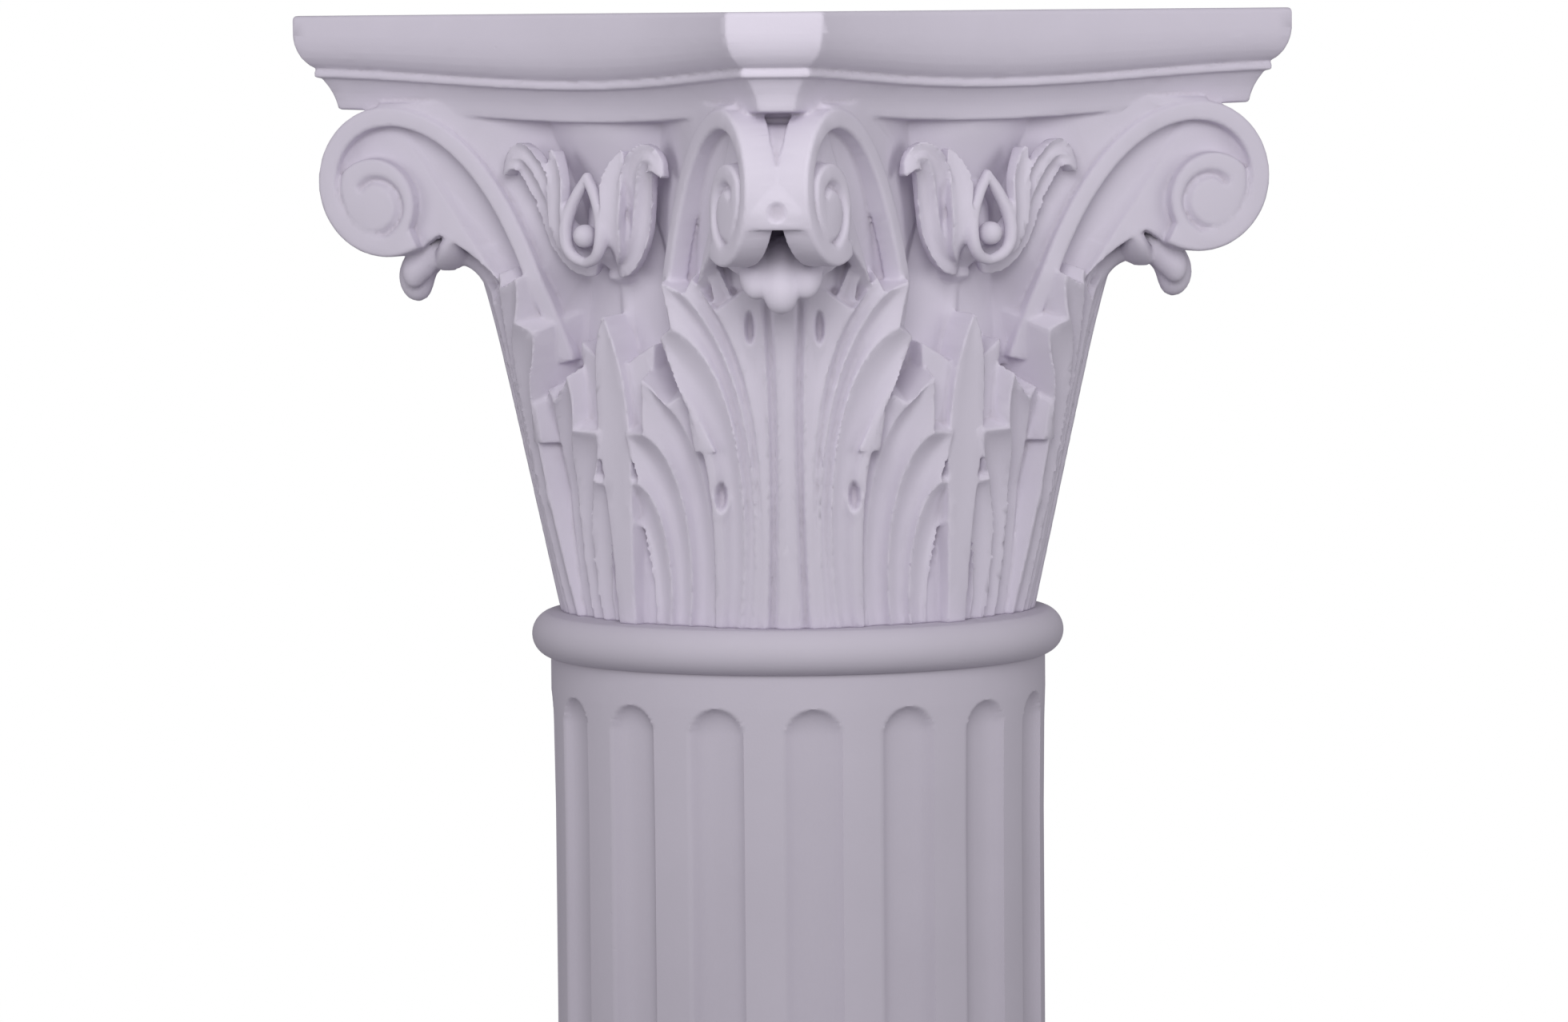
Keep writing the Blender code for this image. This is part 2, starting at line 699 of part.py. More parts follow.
def base():
    lower = half_round(PLINTH_HEIGHT + LOWER_TORUS_HEIGHT / 2, LOWER_TORUS_HEIGHT / 2, LOWER_TORUS_RADIUS, 4)
    upper = half_round(BASE_HEIGHT - UPPER_TORUS_HEIGHT / 2, UPPER_TORUS_HEIGHT / 2, UPPER_TORUS_RADIUS, 3)
    low, high = PLINTH_HEIGHT + LOWER_TORUS_HEIGHT, BASE_HEIGHT - UPPER_TORUS_HEIGHT
    fillet = (high - low) * 0.2
    inner = LOWER_TORUS_RADIUS - LOWER_TORUS_HEIGHT / 2
    scotia = [
        (inner, low + fillet),
        (SCOTIA_TOP_RADIUS - 0.001, blend(low + fillet, high - fillet, 0.5)),
        (SCOTIA_TOP_RADIUS, high - fillet),
        (SCOTIA_TOP_RADIUS, high),
    ]
    lower[0] = (lower[0][0], PLINTH_HEIGHT - 0.004)
    profile = lower + scotia + upper[1:]
    rings = [circle(radius, height, ROUND_SEGMENTS) for radius, height in profile]
    mouldings = stacked_rings("base", rings)
    half = PLINTH_SIDE / 2
    square = []
    levels = (
        (PLINTH_EDGE, 0.0),
        (0.0, PLINTH_EDGE),
        (0.0, PLINTH_HEIGHT - PLINTH_EDGE),
        (PLINTH_EDGE, PLINTH_HEIGHT),
    )
    for inset, height in levels:
        reach = half - inset
        square.append([Vector((x * reach, y * reach, height)) for x, y in ((1, 1), (-1, 1), (-1, -1), (1, -1))])
    return joined(mouldings, [stacked_rings("plinth", square)])


def plaster(name, colour, roughness):
    made = bpy.data.materials.new(name)
    made.use_nodes = True
    shader = made.node_tree.nodes["Principled BSDF"]
    shader.inputs["Base Color"].default_value = (*colour, 1)
    shader.inputs["Roughness"].default_value = roughness
    shader.inputs["Metallic"].default_value = 0
    made.diffuse_color = (*colour, 1)
    return made


def finish(made, material, angle):
    made.data.materials.clear()
    made.data.materials.append(material)
    made.data.shade_smooth()
    made.data.set_sharp_from_angle(angle=math.radians(angle))


finish(capital(), plaster("capital_plaster", (0.62, 0.59, 0.65), 0.85), 35)
finish(shaft(), plaster("shaft_plaster", (0.60, 0.57, 0.63), 0.85), 30)
finish(base(), plaster("base_plaster", (0.60, 0.57, 0.62), 0.88), 30)
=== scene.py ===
# %% [markdown]
# # A cast plaster column with a leafy capital
# The real thing is three plaster castings stacked on each other: a base, a fluted shaft that carries its
# own round astragal, and a capital with leaves, scrolls and a hollow-sided abacus.
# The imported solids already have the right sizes, so they are loaded first. Each casting is then made again
# with its fine carving, in the same place and inside the same box.

import math

import bmesh
import bpy
import numpy as np
from mathutils import Matrix, Vector


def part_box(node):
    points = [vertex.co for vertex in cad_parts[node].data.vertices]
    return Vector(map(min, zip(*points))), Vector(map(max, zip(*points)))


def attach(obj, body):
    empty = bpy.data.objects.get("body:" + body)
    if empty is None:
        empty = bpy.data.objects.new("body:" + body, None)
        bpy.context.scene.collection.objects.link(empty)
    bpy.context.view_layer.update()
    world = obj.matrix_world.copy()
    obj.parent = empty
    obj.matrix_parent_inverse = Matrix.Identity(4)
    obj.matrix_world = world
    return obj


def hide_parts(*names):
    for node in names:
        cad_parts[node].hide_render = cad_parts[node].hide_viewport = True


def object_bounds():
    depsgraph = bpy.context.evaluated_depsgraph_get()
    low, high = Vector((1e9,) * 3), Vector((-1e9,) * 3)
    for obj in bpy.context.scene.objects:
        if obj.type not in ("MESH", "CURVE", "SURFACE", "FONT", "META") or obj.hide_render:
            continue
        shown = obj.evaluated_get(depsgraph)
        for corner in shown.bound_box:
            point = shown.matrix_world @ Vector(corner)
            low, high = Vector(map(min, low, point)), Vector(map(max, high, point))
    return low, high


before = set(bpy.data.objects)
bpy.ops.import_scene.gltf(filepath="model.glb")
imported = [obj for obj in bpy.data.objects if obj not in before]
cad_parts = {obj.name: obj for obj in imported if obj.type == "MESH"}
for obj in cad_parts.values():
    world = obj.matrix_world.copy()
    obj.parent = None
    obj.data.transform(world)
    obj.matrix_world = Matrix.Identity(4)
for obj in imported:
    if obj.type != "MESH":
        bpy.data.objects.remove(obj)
solid_low, solid_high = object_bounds()
TOP = solid_high.z
CAPITAL_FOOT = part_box("capital")[0].z
SHAFT_LOW, SHAFT_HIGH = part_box("shaft")
BASE_LOW, BASE_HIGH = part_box("base")
print("box of the solids", tuple(solid_low), tuple(solid_high))

# %% [markdown]
# ## Camera
# The photograph looks along the diagonal of the capital from the height of its top, a little downward, and
# from well back, so a long lens at 3.55 m gives the same small perspective. The camera is rolled by half a
# degree and shifted by 16 of the photograph's 1960 pixels, which puts the column where the photograph has it.

# %% Camera
EYE_DISTANCE = 3.55
EYE_AZIMUTH = 47.0
EYE_PITCH = 4.06
EYE_ROLL = 0.5
LENS = 161.6
FRAME_WIDTH = 1960
COLUMN_RIGHT_OF_CENTRE = 16


def placed(name, data):
    """A new object in the scene."""
    made = bpy.data.objects.new(name, data)
    bpy.context.scene.collection.objects.link(made)
    return made


camera_data = bpy.data.cameras.new("eye")
camera_data.lens = LENS
camera_data.sensor_width = 36.0
camera_data.shift_x = -COLUMN_RIGHT_OF_CENTRE / FRAME_WIDTH
camera_data.clip_end = 60.0
camera = placed("eye", camera_data)
azimuth = math.radians(EYE_AZIMUTH)
camera.location = (EYE_DISTANCE * math.sin(azimuth), -EYE_DISTANCE * math.cos(azimuth), TOP)
toward = Matrix.Rotation(azimuth, 4, "Z") @ Matrix.Rotation(math.radians(90 - EYE_PITCH), 4, "X")
camera.rotation_euler = (toward @ Matrix.Rotation(math.radians(-EYE_ROLL), 4, "Z")).to_euler()
bpy.context.scene.camera = camera
print("camera at", tuple(round(v, 3) for v in camera.location))

# %% [markdown]
# ## Light and floor
# White plaster only shows its carving where light has a direction. In the photograph a soft lamp stands close
# in front of the capital and a little above it: the bell under the abacus is bright, the band under the
# astragal is dark, and the shaft fades toward its foot and its sides. Two lamps fill the sides, and every
# lamp's beam is narrowed, so the shaft gets less light than the capital. The shaft's plaster is also painted
# darker than the capital's, which is painted shade. The surroundings are plain white for the camera, and dim
# as a light, because a cut-out background lights nothing.

# %% Lights, surroundings and floor
LIT_HEIGHT = 1.10
LAMPS = (
    # name, degrees beside the camera, height, distance, size, watts and degrees of beam
    ("key", -1, 1.50, 1.20, 0.7, 3.2, 110),
    ("fill_left", -62, 1.30, 2.2, 1.4, 3.3, 100),
    ("fill_right", 64, 1.30, 2.2, 1.4, 3.6, 100),
)
SURROUNDINGS_TINT, SURROUNDINGS_LIGHT = (0.97, 0.96, 1.0, 1), 0.26


def area_lamp(name, azimuth_degrees, height, distance, size, watts, beam):
    """A round lamp that shines at the capital and that the camera doesn't see."""
    lamp = bpy.data.lights.new(name, "AREA")
    lamp.shape = "DISK"
    lamp.size = size
    lamp.energy = watts
    lamp.spread = math.radians(beam)
    made = placed(name, lamp)
    made.visible_camera = False
    turn = math.radians(azimuth_degrees)
    place = Vector((distance * math.sin(turn), -distance * math.cos(turn), height))
    made.location = place
    made.rotation_euler = (Vector((0, 0, LIT_HEIGHT)) - place).to_track_quat("-Z", "Y").to_euler()


for name, beside, *rest in LAMPS:
    area_lamp(name, EYE_AZIMUTH + beside, *rest)
print("lamps", len(LAMPS))

world = bpy.data.worlds.new("white surroundings")
world.use_nodes = True
bpy.context.scene.world = world
links = world.node_tree.links
nodes = world.node_tree.nodes
seen = nodes.new("ShaderNodeBackground")
seen.inputs["Color"].default_value = (1, 1, 1, 1)
seen.inputs["Strength"].default_value = 1.0
lighting = nodes["Background"]
lighting.inputs["Color"].default_value = SURROUNDINGS_TINT
lighting.inputs["Strength"].default_value = SURROUNDINGS_LIGHT
chooser = nodes.new("ShaderNodeMixShader")
path = nodes.new("ShaderNodeLightPath")
links.new(path.outputs["Is Camera Ray"], chooser.inputs["Fac"])
links.new(lighting.outputs["Background"], chooser.inputs[1])
links.new(seen.outputs["Background"], chooser.inputs[2])
links.new(chooser.outputs["Shader"], nodes["World Output"].inputs["Surface"])
bpy.context.scene.view_settings.view_transform = "Standard"

FLOOR_RADIUS = 4.0
floor_shape = bmesh.new()
bmesh.ops.create_circle(floor_shape, cap_ends=True, radius=FLOOR_RADIUS, segments=96)
floor_mesh = bpy.data.meshes.new("floor")
floor_shape.to_mesh(floor_mesh)
floor_shape.free()
floor = placed("floor", floor_mesh)
pale = bpy.data.materials.new("pale floor")
pale.use_nodes = True
floor_finish = pale.node_tree.nodes["Principled BSDF"].inputs
floor_finish["Base Color"].default_value = (0.80, 0.80, 0.81, 1)
floor_finish["Roughness"].default_value = 0.9
floor_mesh.materials.append(pale)

# %% [markdown]
# ## Shapes as arrays
# The capital is one casting, so its parts only have to overlap: they are fused into one skin at the end.
# Every part is a closed solid kept as an array of points and a list of faces. Two makers do nearly all the
# work: a carved sheet with a back and walls, and a tube through rings of points.

# %% Two makers of closed solids
def carved_sheet(front, back):
    """A closed solid from two grids of points with the same rows and columns."""
    rows, columns = front.shape[:2]
    count = rows * columns
    points = np.concatenate([front.reshape(-1, 3), back.reshape(-1, 3)])
    faces = []
    for i in range(rows - 1):
        for j in range(columns - 1):
            a = i * columns + j
            b = a + columns
            faces.append((a, a + 1, b + 1, b))
            faces.append((count + a, count + b, count + b + 1, count + a + 1))
    rim = list(range(columns))
    rim += [i * columns + columns - 1 for i in range(1, rows)]
    rim += [(rows - 1) * columns + j for j in range(columns - 2, -1, -1)]
    rim += [i * columns for i in range(rows - 2, 0, -1)]
    for a, b in zip(rim, rim[1:] + rim[:1]):
        faces.append((a, count + a, count + b, b))
    return points, faces


def tube(rings):
    """A closed solid through rings with the same number of points, capped at both ends."""
    stations, around = rings.shape[:2]
    faces = [tuple(range(around))[::-1], tuple((stations - 1) * around + i for i in range(around))]
    for s in range(stations - 1):
        for i in range(around):
            a, b = s * around + i, s * around + (i + 1) % around
            faces.append((a, b, b + around, a + around))
    return rings.reshape(-1, 3), faces


def bent(points, steps):
    """A smooth line from a start, past two bends, to an end: a cubic Bezier."""
    a, b, c, d = (np.array(p, dtype=float) for p in points)
    t = np.linspace(0, 1, steps)[:, None]
    return (1 - t) ** 3 * a + 3 * t * (1 - t) ** 2 * b + 3 * t * t * (1 - t) * c + t**3 * d


def through(points, steps):
    """A smooth line through all the points, at even steps of the points' own count."""
    known = np.array(points, dtype=float)
    padded = np.concatenate([2 * known[:1] - known[1:2], known, 2 * known[-1:] - known[-2:-1]])
    line = []
    for place in np.linspace(0, len(known) - 1.0001, steps):
        i = int(place)
        t = place - i
        p0, p1, p2, p3 = padded[i : i + 4]
        bow = 2 * p0 - 5 * p1 + 4 * p2 - p3
        twist = 3 * p1 - p0 - 3 * p2 + p3
        line.append(0.5 * (2 * p1 + (p2 - p0) * t + bow * t**2 + twist * t**3))
    return np.array(line)


def mirrored(part):
    """The same part on the other side of its group's middle, with its faces still outward."""
    points, faces = part
    return points * (1, -1, 1), [face[::-1] for face in faces]


def mesh_of(name, parts):
    """One object from several parts."""
    points = []
    faces = []
    for part_points, part_faces in parts:
        start = sum(len(p) for p in points)
        points.append(part_points)
        faces.extend(tuple(start + i for i in face) for face in part_faces)
    mesh = bpy.data.meshes.new(name)
    mesh.from_pydata(np.concatenate(points).tolist(), [], faces)
    return placed(name, mesh)


# %% [markdown]
# ## Bell
# Behind the leaves the capital is a bell: nearly straight below, and flaring to a lip under the abacus. It
# could be a spun profile, and rings stacked by height are the same thing with the radius in one function,
# which the leaves also use to find the bell behind them.

# %% Bell
MM = 0.001
CAPITAL_HEIGHT = TOP - CAPITAL_FOOT
BELL_FOOT, BELL_WAIST, BELL_LIP = 108.8 * MM, 112.5 * MM, 133.2 * MM
LIP_SHARE, BELL_TOP_SHARE = 0.815, 0.875


def bell_radius(share):
    """The bell's radius at a share of the capital's height."""
    low = BELL_FOOT + (BELL_WAIST - BELL_FOOT) * (share / 0.5) ** 2
    rise = np.clip((share - 0.5) / (LIP_SHARE - 0.5), 0, 1)
    return np.where(share < 0.5, low, BELL_WAIST + (BELL_LIP - BELL_WAIST) * rise**1.8)


def level(share):
    return CAPITAL_FOOT + share * CAPITAL_HEIGHT


def ring_of(radius, height, around=160):
    turn = np.linspace(0, 2 * math.pi, around, endpoint=False)
    return np.stack([radius * np.cos(turn), radius * np.sin(turn), np.full(around, height)], axis=1)


bell_shares = np.linspace(0, BELL_TOP_SHARE, 50)
bell = tube(np.stack([ring_of(float(bell_radius(np.array(s))), level(s)) for s in bell_shares]))
print("bell", len(bell[0]), "points")

# %% [markdown]
# ## Abacus
# The abacus is a slab with four hollow sides and four cut horns. Its edge runs down through a quarter round,
# a fillet and a small hollow, and all of them sag a little toward mid side, because the mould did. Each level
# of the profile is the same plan drawn in a little, so the plan is one function of inset and drop.

# %% Abacus
HORN_REACH = 250 * MM
HORN_WIDTH = 45.6 * MM
SIDE_HOLLOW = 35 * MM
SIDE_SAG = 6.5 * MM
ABACUS_PROFILE = (
    # inset, drop and share of the sag
    (30.0, 47.6, 1.0),
    (21.6, 47.2, 1.0),
    (20.9, 46.2, 1.0),
    (20.4, 43.5, 1.0),
    (18.6, 39.0, 1.0),
    (16.2, 35.0, 1.0),
    (14.4, 32.8, 1.0),
    (13.9, 31.4, 1.0),
    (10.4, 31.0, 1.0),
    (9.9, 30.4, 1.0),
    (9.8, 28.2, 1.0),
    (10.6, 27.3, 1.0),
    (11.0, 26.3, 1.0),
    (8.4, 25.4, 1.0),
    (6.2, 23.6, 0.95),
    (3.8, 21.0, 0.88),
    (1.9, 17.8, 0.75),
    (0.6, 14.0, 0.55),
    (0.0, 10.5, 0.35),
    (0.0, 5.0, 0.1),
    (0.0, 1.4, 0.0),
    (0.5, 0.3, 0.0),
    (1.5, 0.0, 0.0),
    (30.0, 0.0, 0.0),
)


def abacus_plan(inset, drop, sag, side_points=41, horn_points=9):
    """The abacus's outline as one ring, drawn in by inset and lowered by drop, with its sides sagging."""
    half = HORN_WIDTH / 2
    corner_x = (HORN_REACH + half) / math.sqrt(2)
    corner_y = (HORN_REACH - half) / math.sqrt(2)
    hollow_radius = (corner_y**2 + SIDE_HOLLOW**2) / (2 * SIDE_HOLLOW)
    centre = corner_x - SIDE_HOLLOW + hollow_radius
    radius = hollow_radius + inset
    total = (HORN_REACH - inset) * math.sqrt(2)
    b = centre + total
    x = (b - math.sqrt(b * b - 2 * (centre**2 + total**2 - radius**2))) / 2
    end_turn = math.asin((total - x) / radius)
    along = np.linspace(-1, 1, side_points)
    side = np.stack(
        [
            centre - radius * np.cos(along * end_turn),
            radius * np.sin(along * end_turn),
            TOP - drop - sag * np.cos(along * math.pi / 2) ** 1.5,
        ],
        axis=1,
    )
    ring = []
    for quarter in range(4):
        turn = np.array(Matrix.Rotation(quarter * math.pi / 2, 3, "Z"))
        after = np.array(Matrix.Rotation((quarter + 1) * math.pi / 2, 3, "Z"))
        here = side @ turn.T
        ring.append(here)
        start, end = here[-1], (side @ after.T)[0]
        share = np.linspace(0, 1, horn_points + 2)[1:-1, None]
        ring.append(start + (end - start) * share)
    return np.concatenate(ring)


abacus = tube(np.stack([abacus_plan(i * MM, d * MM, s * SIDE_SAG) for i, d, s in ABACUS_PROFILE]))
print("abacus", len(abacus[0]), "points")

# %% [markdown]
# ## Leaf blades
# An acanthus leaf is carved as a fan of long gouges. They leave the foot side by side, rise together and bend
# outward, each to its own tip, and between two tips a ridge runs back down from the notch. So a leaf is a row
# of bent lines. A gouge's line ends at a tip and lies low, a ridge's line ends at a notch and stands high,
# and the surface is drawn between them. The lines are written as they would be pencilled on the plaster, as
# distances to the side of the leaf's axis and heights above the foot, in millimetres. The back of the sheet
# goes into the bell and is a little wider and higher than its front. That gives the lit, sloping walls and
# lets the mould come off.

# %% Fan of gouges
LEAF_FOOT, LEAF_LEAN, LEAF_ROUNDING = 116.6 * MM, 65.5 * MM, 6.0 * MM
WALL_LIFT = 13 * MM
WALL_DRAFT = 0.035
WALL_BACK = 4.5 * MM
SIDE_STEP, SIDE_SPREAD, SIDE_ANGLE = 13.0 * MM, 10.0 * MM, math.radians(18)
MIDDLE_STAND, MIDDLE_RISE = 4.5, 9.3


def main_radius(share, angle):
    """How far out the leaf's face stands, at a share of the height and an angle from the leaf's axis."""
    return LEAF_FOOT + LEAF_LEAN * share - LEAF_ROUNDING * (angle / math.radians(25)) ** 2


def side_radius(share, angle):
    stepped = SIDE_STEP * np.minimum(1.0, 0.35 + 3 * share)
    return main_radius(share, SIDE_ANGLE) - stepped + SIDE_SPREAD * share


def middle_radius(share, angle):
    return bell_radius(share) + (MIDDLE_STAND + MIDDLE_RISE * np.minimum(share / 0.45, 1.0)) * MM


def laid_on(radius_of, x, z, stand, wall_lift=WALL_LIFT):
    """Puts drawn points on the leaf's own round surface, standing out by so many millimetres."""
    share = z / CAPITAL_HEIGHT
    angle = np.arcsin(np.clip(x / (LEAF_FOOT + LEAF_LEAN * share), -0.95, 0.95))
    radius = radius_of(share, angle) + stand * MM
    angle = np.arcsin(np.clip(x / radius, -0.95, 0.95))
    front = np.stack([radius * np.cos(angle), radius * np.sin(angle), CAPITAL_FOOT + z], axis=2)
    along = np.linspace(0, 1, len(x))[:, None]
    lift = wall_lift * along**3
    behind = bell_radius((z + lift) / CAPITAL_HEIGHT) - WALL_BACK
    turn = angle * (1 + WALL_DRAFT)
    back = np.stack([behind * np.cos(turn), behind * np.sin(turn), CAPITAL_FOOT + z + lift], axis=2)
    return carved_sheet(front, back)


def fan(radius_of, lines, stand=0.0, tip_out=2.0, wall_lift=WALL_LIFT, rows=72, between=7):
    """Lines, from outside inward, are (foot x, two bends, end, depth at the foot, depth above)."""
    drawn = [bent(((line[0], 0), line[1], line[2], line[3]), rows) for line in lines]
    along = np.linspace(0, 1, rows)
    grown = np.clip((along - 0.12) / 0.60, 0, 1)
    depths = [line[4] + (line[5] - line[4]) * grown for line in lines]
    fade = 1 - 0.35 * along**6
    columns = []
    heights = []
    for i in range(len(lines) - 1):
        steps = np.linspace(0, 1, between + 1)
        if i < len(lines) - 2:
            steps = steps[:-1]
        for u in steps:
            columns.append(drawn[i] * (1 - u) + drawn[i + 1] * u)
            toward_low = math.sin(u * math.pi / 2) ** 0.9
            toward_high = 1 - math.sin((1 - u) * math.pi / 2) ** 0.9
            share = toward_low if lines[i + 1][5] > lines[i][5] else toward_high
            heights.append(-(depths[i] + (depths[i + 1] - depths[i]) * share) * fade)
    face = np.stack(columns, axis=1)
    height = np.stack(heights, axis=1) + stand + tip_out * along[:, None] ** 6
    return laid_on(radius_of, face[..., 0] * MM, face[..., 1] * MM, height, wall_lift)


def blade(radius_of, upper, lower, tip, stand=0.0, gouge=3.0, tip_out=0.0, rows=44, columns=17):
    """One gouge between two ridges that meet at its tip; a ridge is (foot x, bend x, bend z)."""
    edges = []
    for foot, bend_x, bend_z in (upper, lower):
        edges.append(bent(((foot, 0), (foot, 0.42 * tip[1]), (bend_x, bend_z), tip), rows + 1)[:-1])
    across = np.linspace(0, 1, columns)
    face = edges[0][:, None] + (edges[1] - edges[0])[:, None] * across[None, :, None]
    along = np.linspace(0, 1, rows)[:, None]
    hollow = np.sin(math.pi * across**0.66)[None, :] * np.sin(math.pi * (0.12 + 0.80 * along))
    height = stand + tip_out * along**5 - gouge * hollow
    return laid_on(radius_of, face[..., 0] * MM, face[..., 1] * MM, height)


# %% [markdown]
# ## Corner leaf
# Half a corner leaf is two fans. The proud one carries the tooth above the waist, the big side tip, the two
# upper tips and the ridges beside the midrib. The lower one lies back beside it and has three tips. A narrow
# lobe rises behind the upper tips, next to the curl. The other half is the mirror of this one.

# %% Corner leaf
PROUD_FAN = (
    (37.0, (36.2, 40), (35.5, 80), (48.0, 107.0), 0.4, 0.4),
    (33.0, (29.5, 50), (31.5, 98), (54.5, 122.5), 1.2, 1.6),
    (29.0, (21.5, 60), (27.5, 112), (62.0, 143.8), 3.6, 6.4),
    (24.5, (15.5, 65), (24.5, 138), (56.0, 148.5), 0.0, 0.0),
    (21.2, (13.6, 70), (21.8, 138), (61.0, 171.2), 2.0, 5.6),
    (18.2, (11.8, 72), (17.8, 132), (49.0, 165.5), 0.0, 0.0),
    (16.0, (10.4, 75), (15.9, 135), (45.0, 173.5), 0.8, 5.0),
    (14.0, (9.2, 75), (14.0, 128), (33.8, 157.5), 0.0, 0.0),
    (12.2, (8.0, 80), (11.4, 135), (23.0, 165.0), 0.0, 3.0),
    (10.6, (6.8, 85), (8.6, 135), (13.0, 174.0), 0.0, 0.2),
    (8.2, (5.0, 85), (5.8, 135), (8.8, 176.0), 3.4, 4.2),
    (5.6, (3.2, 85), (4.0, 135), (6.0, 177.0), -0.6, -0.4),
    (0.0, (0.0, 85), (0.0, 135), (0.0, 178.0), -1.4, -1.2),
)
LOWER_FAN = (
    (67.0, (67.0, 25), (72.5, 48), (80.5, 57.5), 0.4, 0.4),
    (63.5, (62.5, 30), (69.5, 60), (85.5, 69.0), 3.0, 5.6),
    (59.0, (56.0, 35), (64.0, 66), (75.0, 70.5), -0.6, -0.6),
    (55.0, (51.0, 40), (60.0, 84), (81.5, 95.0), 3.4, 6.0),
    (49.5, (44.5, 45), (54.0, 88), (72.0, 95.5), -0.6, -0.6),
    (45.0, (39.5, 50), (47.5, 100), (72.5, 123.0), 3.4, 6.0),
    (38.5, (34.0, 50), (42.5, 98), (60.0, 110.0), 0.4, 0.4),
    (33.5, (29.5, 50), (38.0, 98), (52.0, 115.0), 1.0, 3.4),
    (28.0, (25.0, 50), (30.0, 90), (40.0, 104.0), 0.0, 0.0),
)


def panel(radius_of, corners, stand, wall_lift=WALL_LIFT, steps=12):
    """A flat-faced tooth with four drawn corners: lower inner, lower outer, upper outer, upper inner."""
    low_in, low_out, high_out, high_in = (np.array(corner, dtype=float) for corner in corners)
    along = np.linspace(0, 1, steps)[:, None, None]
    across = np.linspace(0, 1, steps)[None, :, None]
    face = (low_in * (1 - across) + low_out * across) * (1 - along)
    face = face + (high_in * (1 - across) + high_out * across) * along
    return laid_on(radius_of, face[..., 0] * MM, face[..., 1] * MM, np.full(face.shape[:2], stand), wall_lift)


half_leaf = [
    fan(main_radius, PROUD_FAN, stand=2.0, tip_out=3.0),
    panel(main_radius, ((34.8, 88), (45.5, 88), (48.5, 107.5), (44.0, 107.5)), 1.7),
    fan(side_radius, LOWER_FAN, stand=2.6, tip_out=3.0),
    blade(main_radius, (8, 14, 160), (16, 33, 150), (38.5, 187.5), stand=-2.5, gouge=3.4, tip_out=8.0),
]
corner_parts = half_leaf + [mirrored(part) for part in half_leaf]
print("corner leaf", len(corner_parts), "parts")

# %% [markdown]
# ## Curled tip
# The leaf's tip rolls out over the top and hangs as three round lobes. Three fat tubes side by side along one
# arched line give it, with the middle one longest; fused, they read as one lobed curl. A hollow tooth stands
# on each side of the arch.

# %% Curled tip
CURL_LINE = ((136, 146), (146, 167), (156, 180), (170, 185.5), (183, 182), (190.5, 172), (190.0, 157.5))
CURL_STEPS = 64
CURL_LOBES = (
    # side offset, radius at the root and at the end, how much shorter than the middle lobe
    (0.0, 9.5, 9.2, 0.0),
    (11.8, 9.0, 8.0, 0.07),
    (-11.8, 9.0, 8.0, 0.07),
)
# The tooth beside the arch, from foot to tip: distance, side offset, height, half width
CURL_TOOTH = ((172, 10, 179, 7.0), (172.5, 18, 182, 8.0), (172.5, 25, 187, 6.0), (171.5, 30, 194, 1.2))
TOOTH_ACROSS = (0.93, 0, -0.30)


def sausage(line, radii, across=(0.0, 1.0, 0.0), around=28):
    """A round tube along points in one upright plane, whose own direction is across."""
    ahead = np.gradient(line, axis=0)
    ahead /= np.linalg.norm(ahead, axis=1)[:, None]
    across = np.array(across)
    up = np.cross(ahead, across)
    turn = np.linspace(0, 2 * math.pi, around, endpoint=False)
    rings = []
    for place, radius, rise in zip(line, radii, up):
        spread = radius * np.cos(turn)[:, None] * across + radius * np.sin(turn)[:, None] * rise
        rings.append(place + spread)
    return tube(np.stack(rings))


def rounded_radii(first, last, steps, cap):
    """Radii along a tube, closing like a ball over the last cap steps."""
    radii = np.linspace(first, last, steps)
    ball = np.linspace(0, 1, cap + 1)[1:]
    radii[-cap:] *= np.sqrt(np.clip(1 - ball**2, 0.004, 1))
    return radii


whole_line = through(CURL_LINE, CURL_STEPS)
for offset, root, end, shorter in CURL_LOBES:
    flat_line = whole_line[: int(CURL_STEPS * (1 - shorter))]
    aside = np.full(len(flat_line), offset * MM)
    spine = np.stack([flat_line[:, 0] * MM, aside, CAPITAL_FOOT + flat_line[:, 1] * MM], axis=1)
    corner_parts.append(sausage(spine, rounded_radii(root, end, len(spine), 10) * MM))
print("curl of", len(CURL_LOBES), "lobes")


def tooth(stations, wide, steps=30, columns=11):
    """A hollow leaf tooth along a line of (distance, side offset, height, half width)."""
    line = through(stations, steps)
    middle, half = line[:, :3], line[:, 3]
    across = np.array(wide) / np.linalg.norm(wide)
    ahead = np.gradient(middle, axis=0)
    ahead /= np.linalg.norm(ahead, axis=1)[:, None]
    outward = np.cross(across, ahead)
    outward /= np.linalg.norm(outward, axis=1)[:, None]
    side = np.linspace(-1, 1, columns)[None, :, None]
    sweep = middle[:, None] + across * side * half[:, None, None]
    hollow = (1 - side**2) * np.minimum(half, 4.0)[:, None, None] * 0.8
    front = sweep + outward[:, None] * (2.0 - hollow)
    back = sweep - outward[:, None] * (4.0 + 2.0 * (1 - side**2))
    lift = np.array([0.0, 0.0, CAPITAL_FOOT])
    return carved_sheet(front * MM + lift, back * MM + lift)


curl_tooth = tooth(CURL_TOOTH, TOOTH_ACROSS)
corner_parts += [curl_tooth, mirrored(curl_tooth)]

# %% [markdown]
# ## Volutes
# Two scrolled plates meet at each corner, splayed 22 degrees either side of the diagonal. A plate has a web
# that lies back, a raised rim that climbs the stalk and runs round the scroll, and a raised disc. The disc
# touches the rim toward the nose, so the sunk web between them narrows to nothing there. From that point on
# the spiral is only a cut line, which runs under the disc's middle and turns in. Everything is drawn in the
# plate's own plane and then stood up with one function.

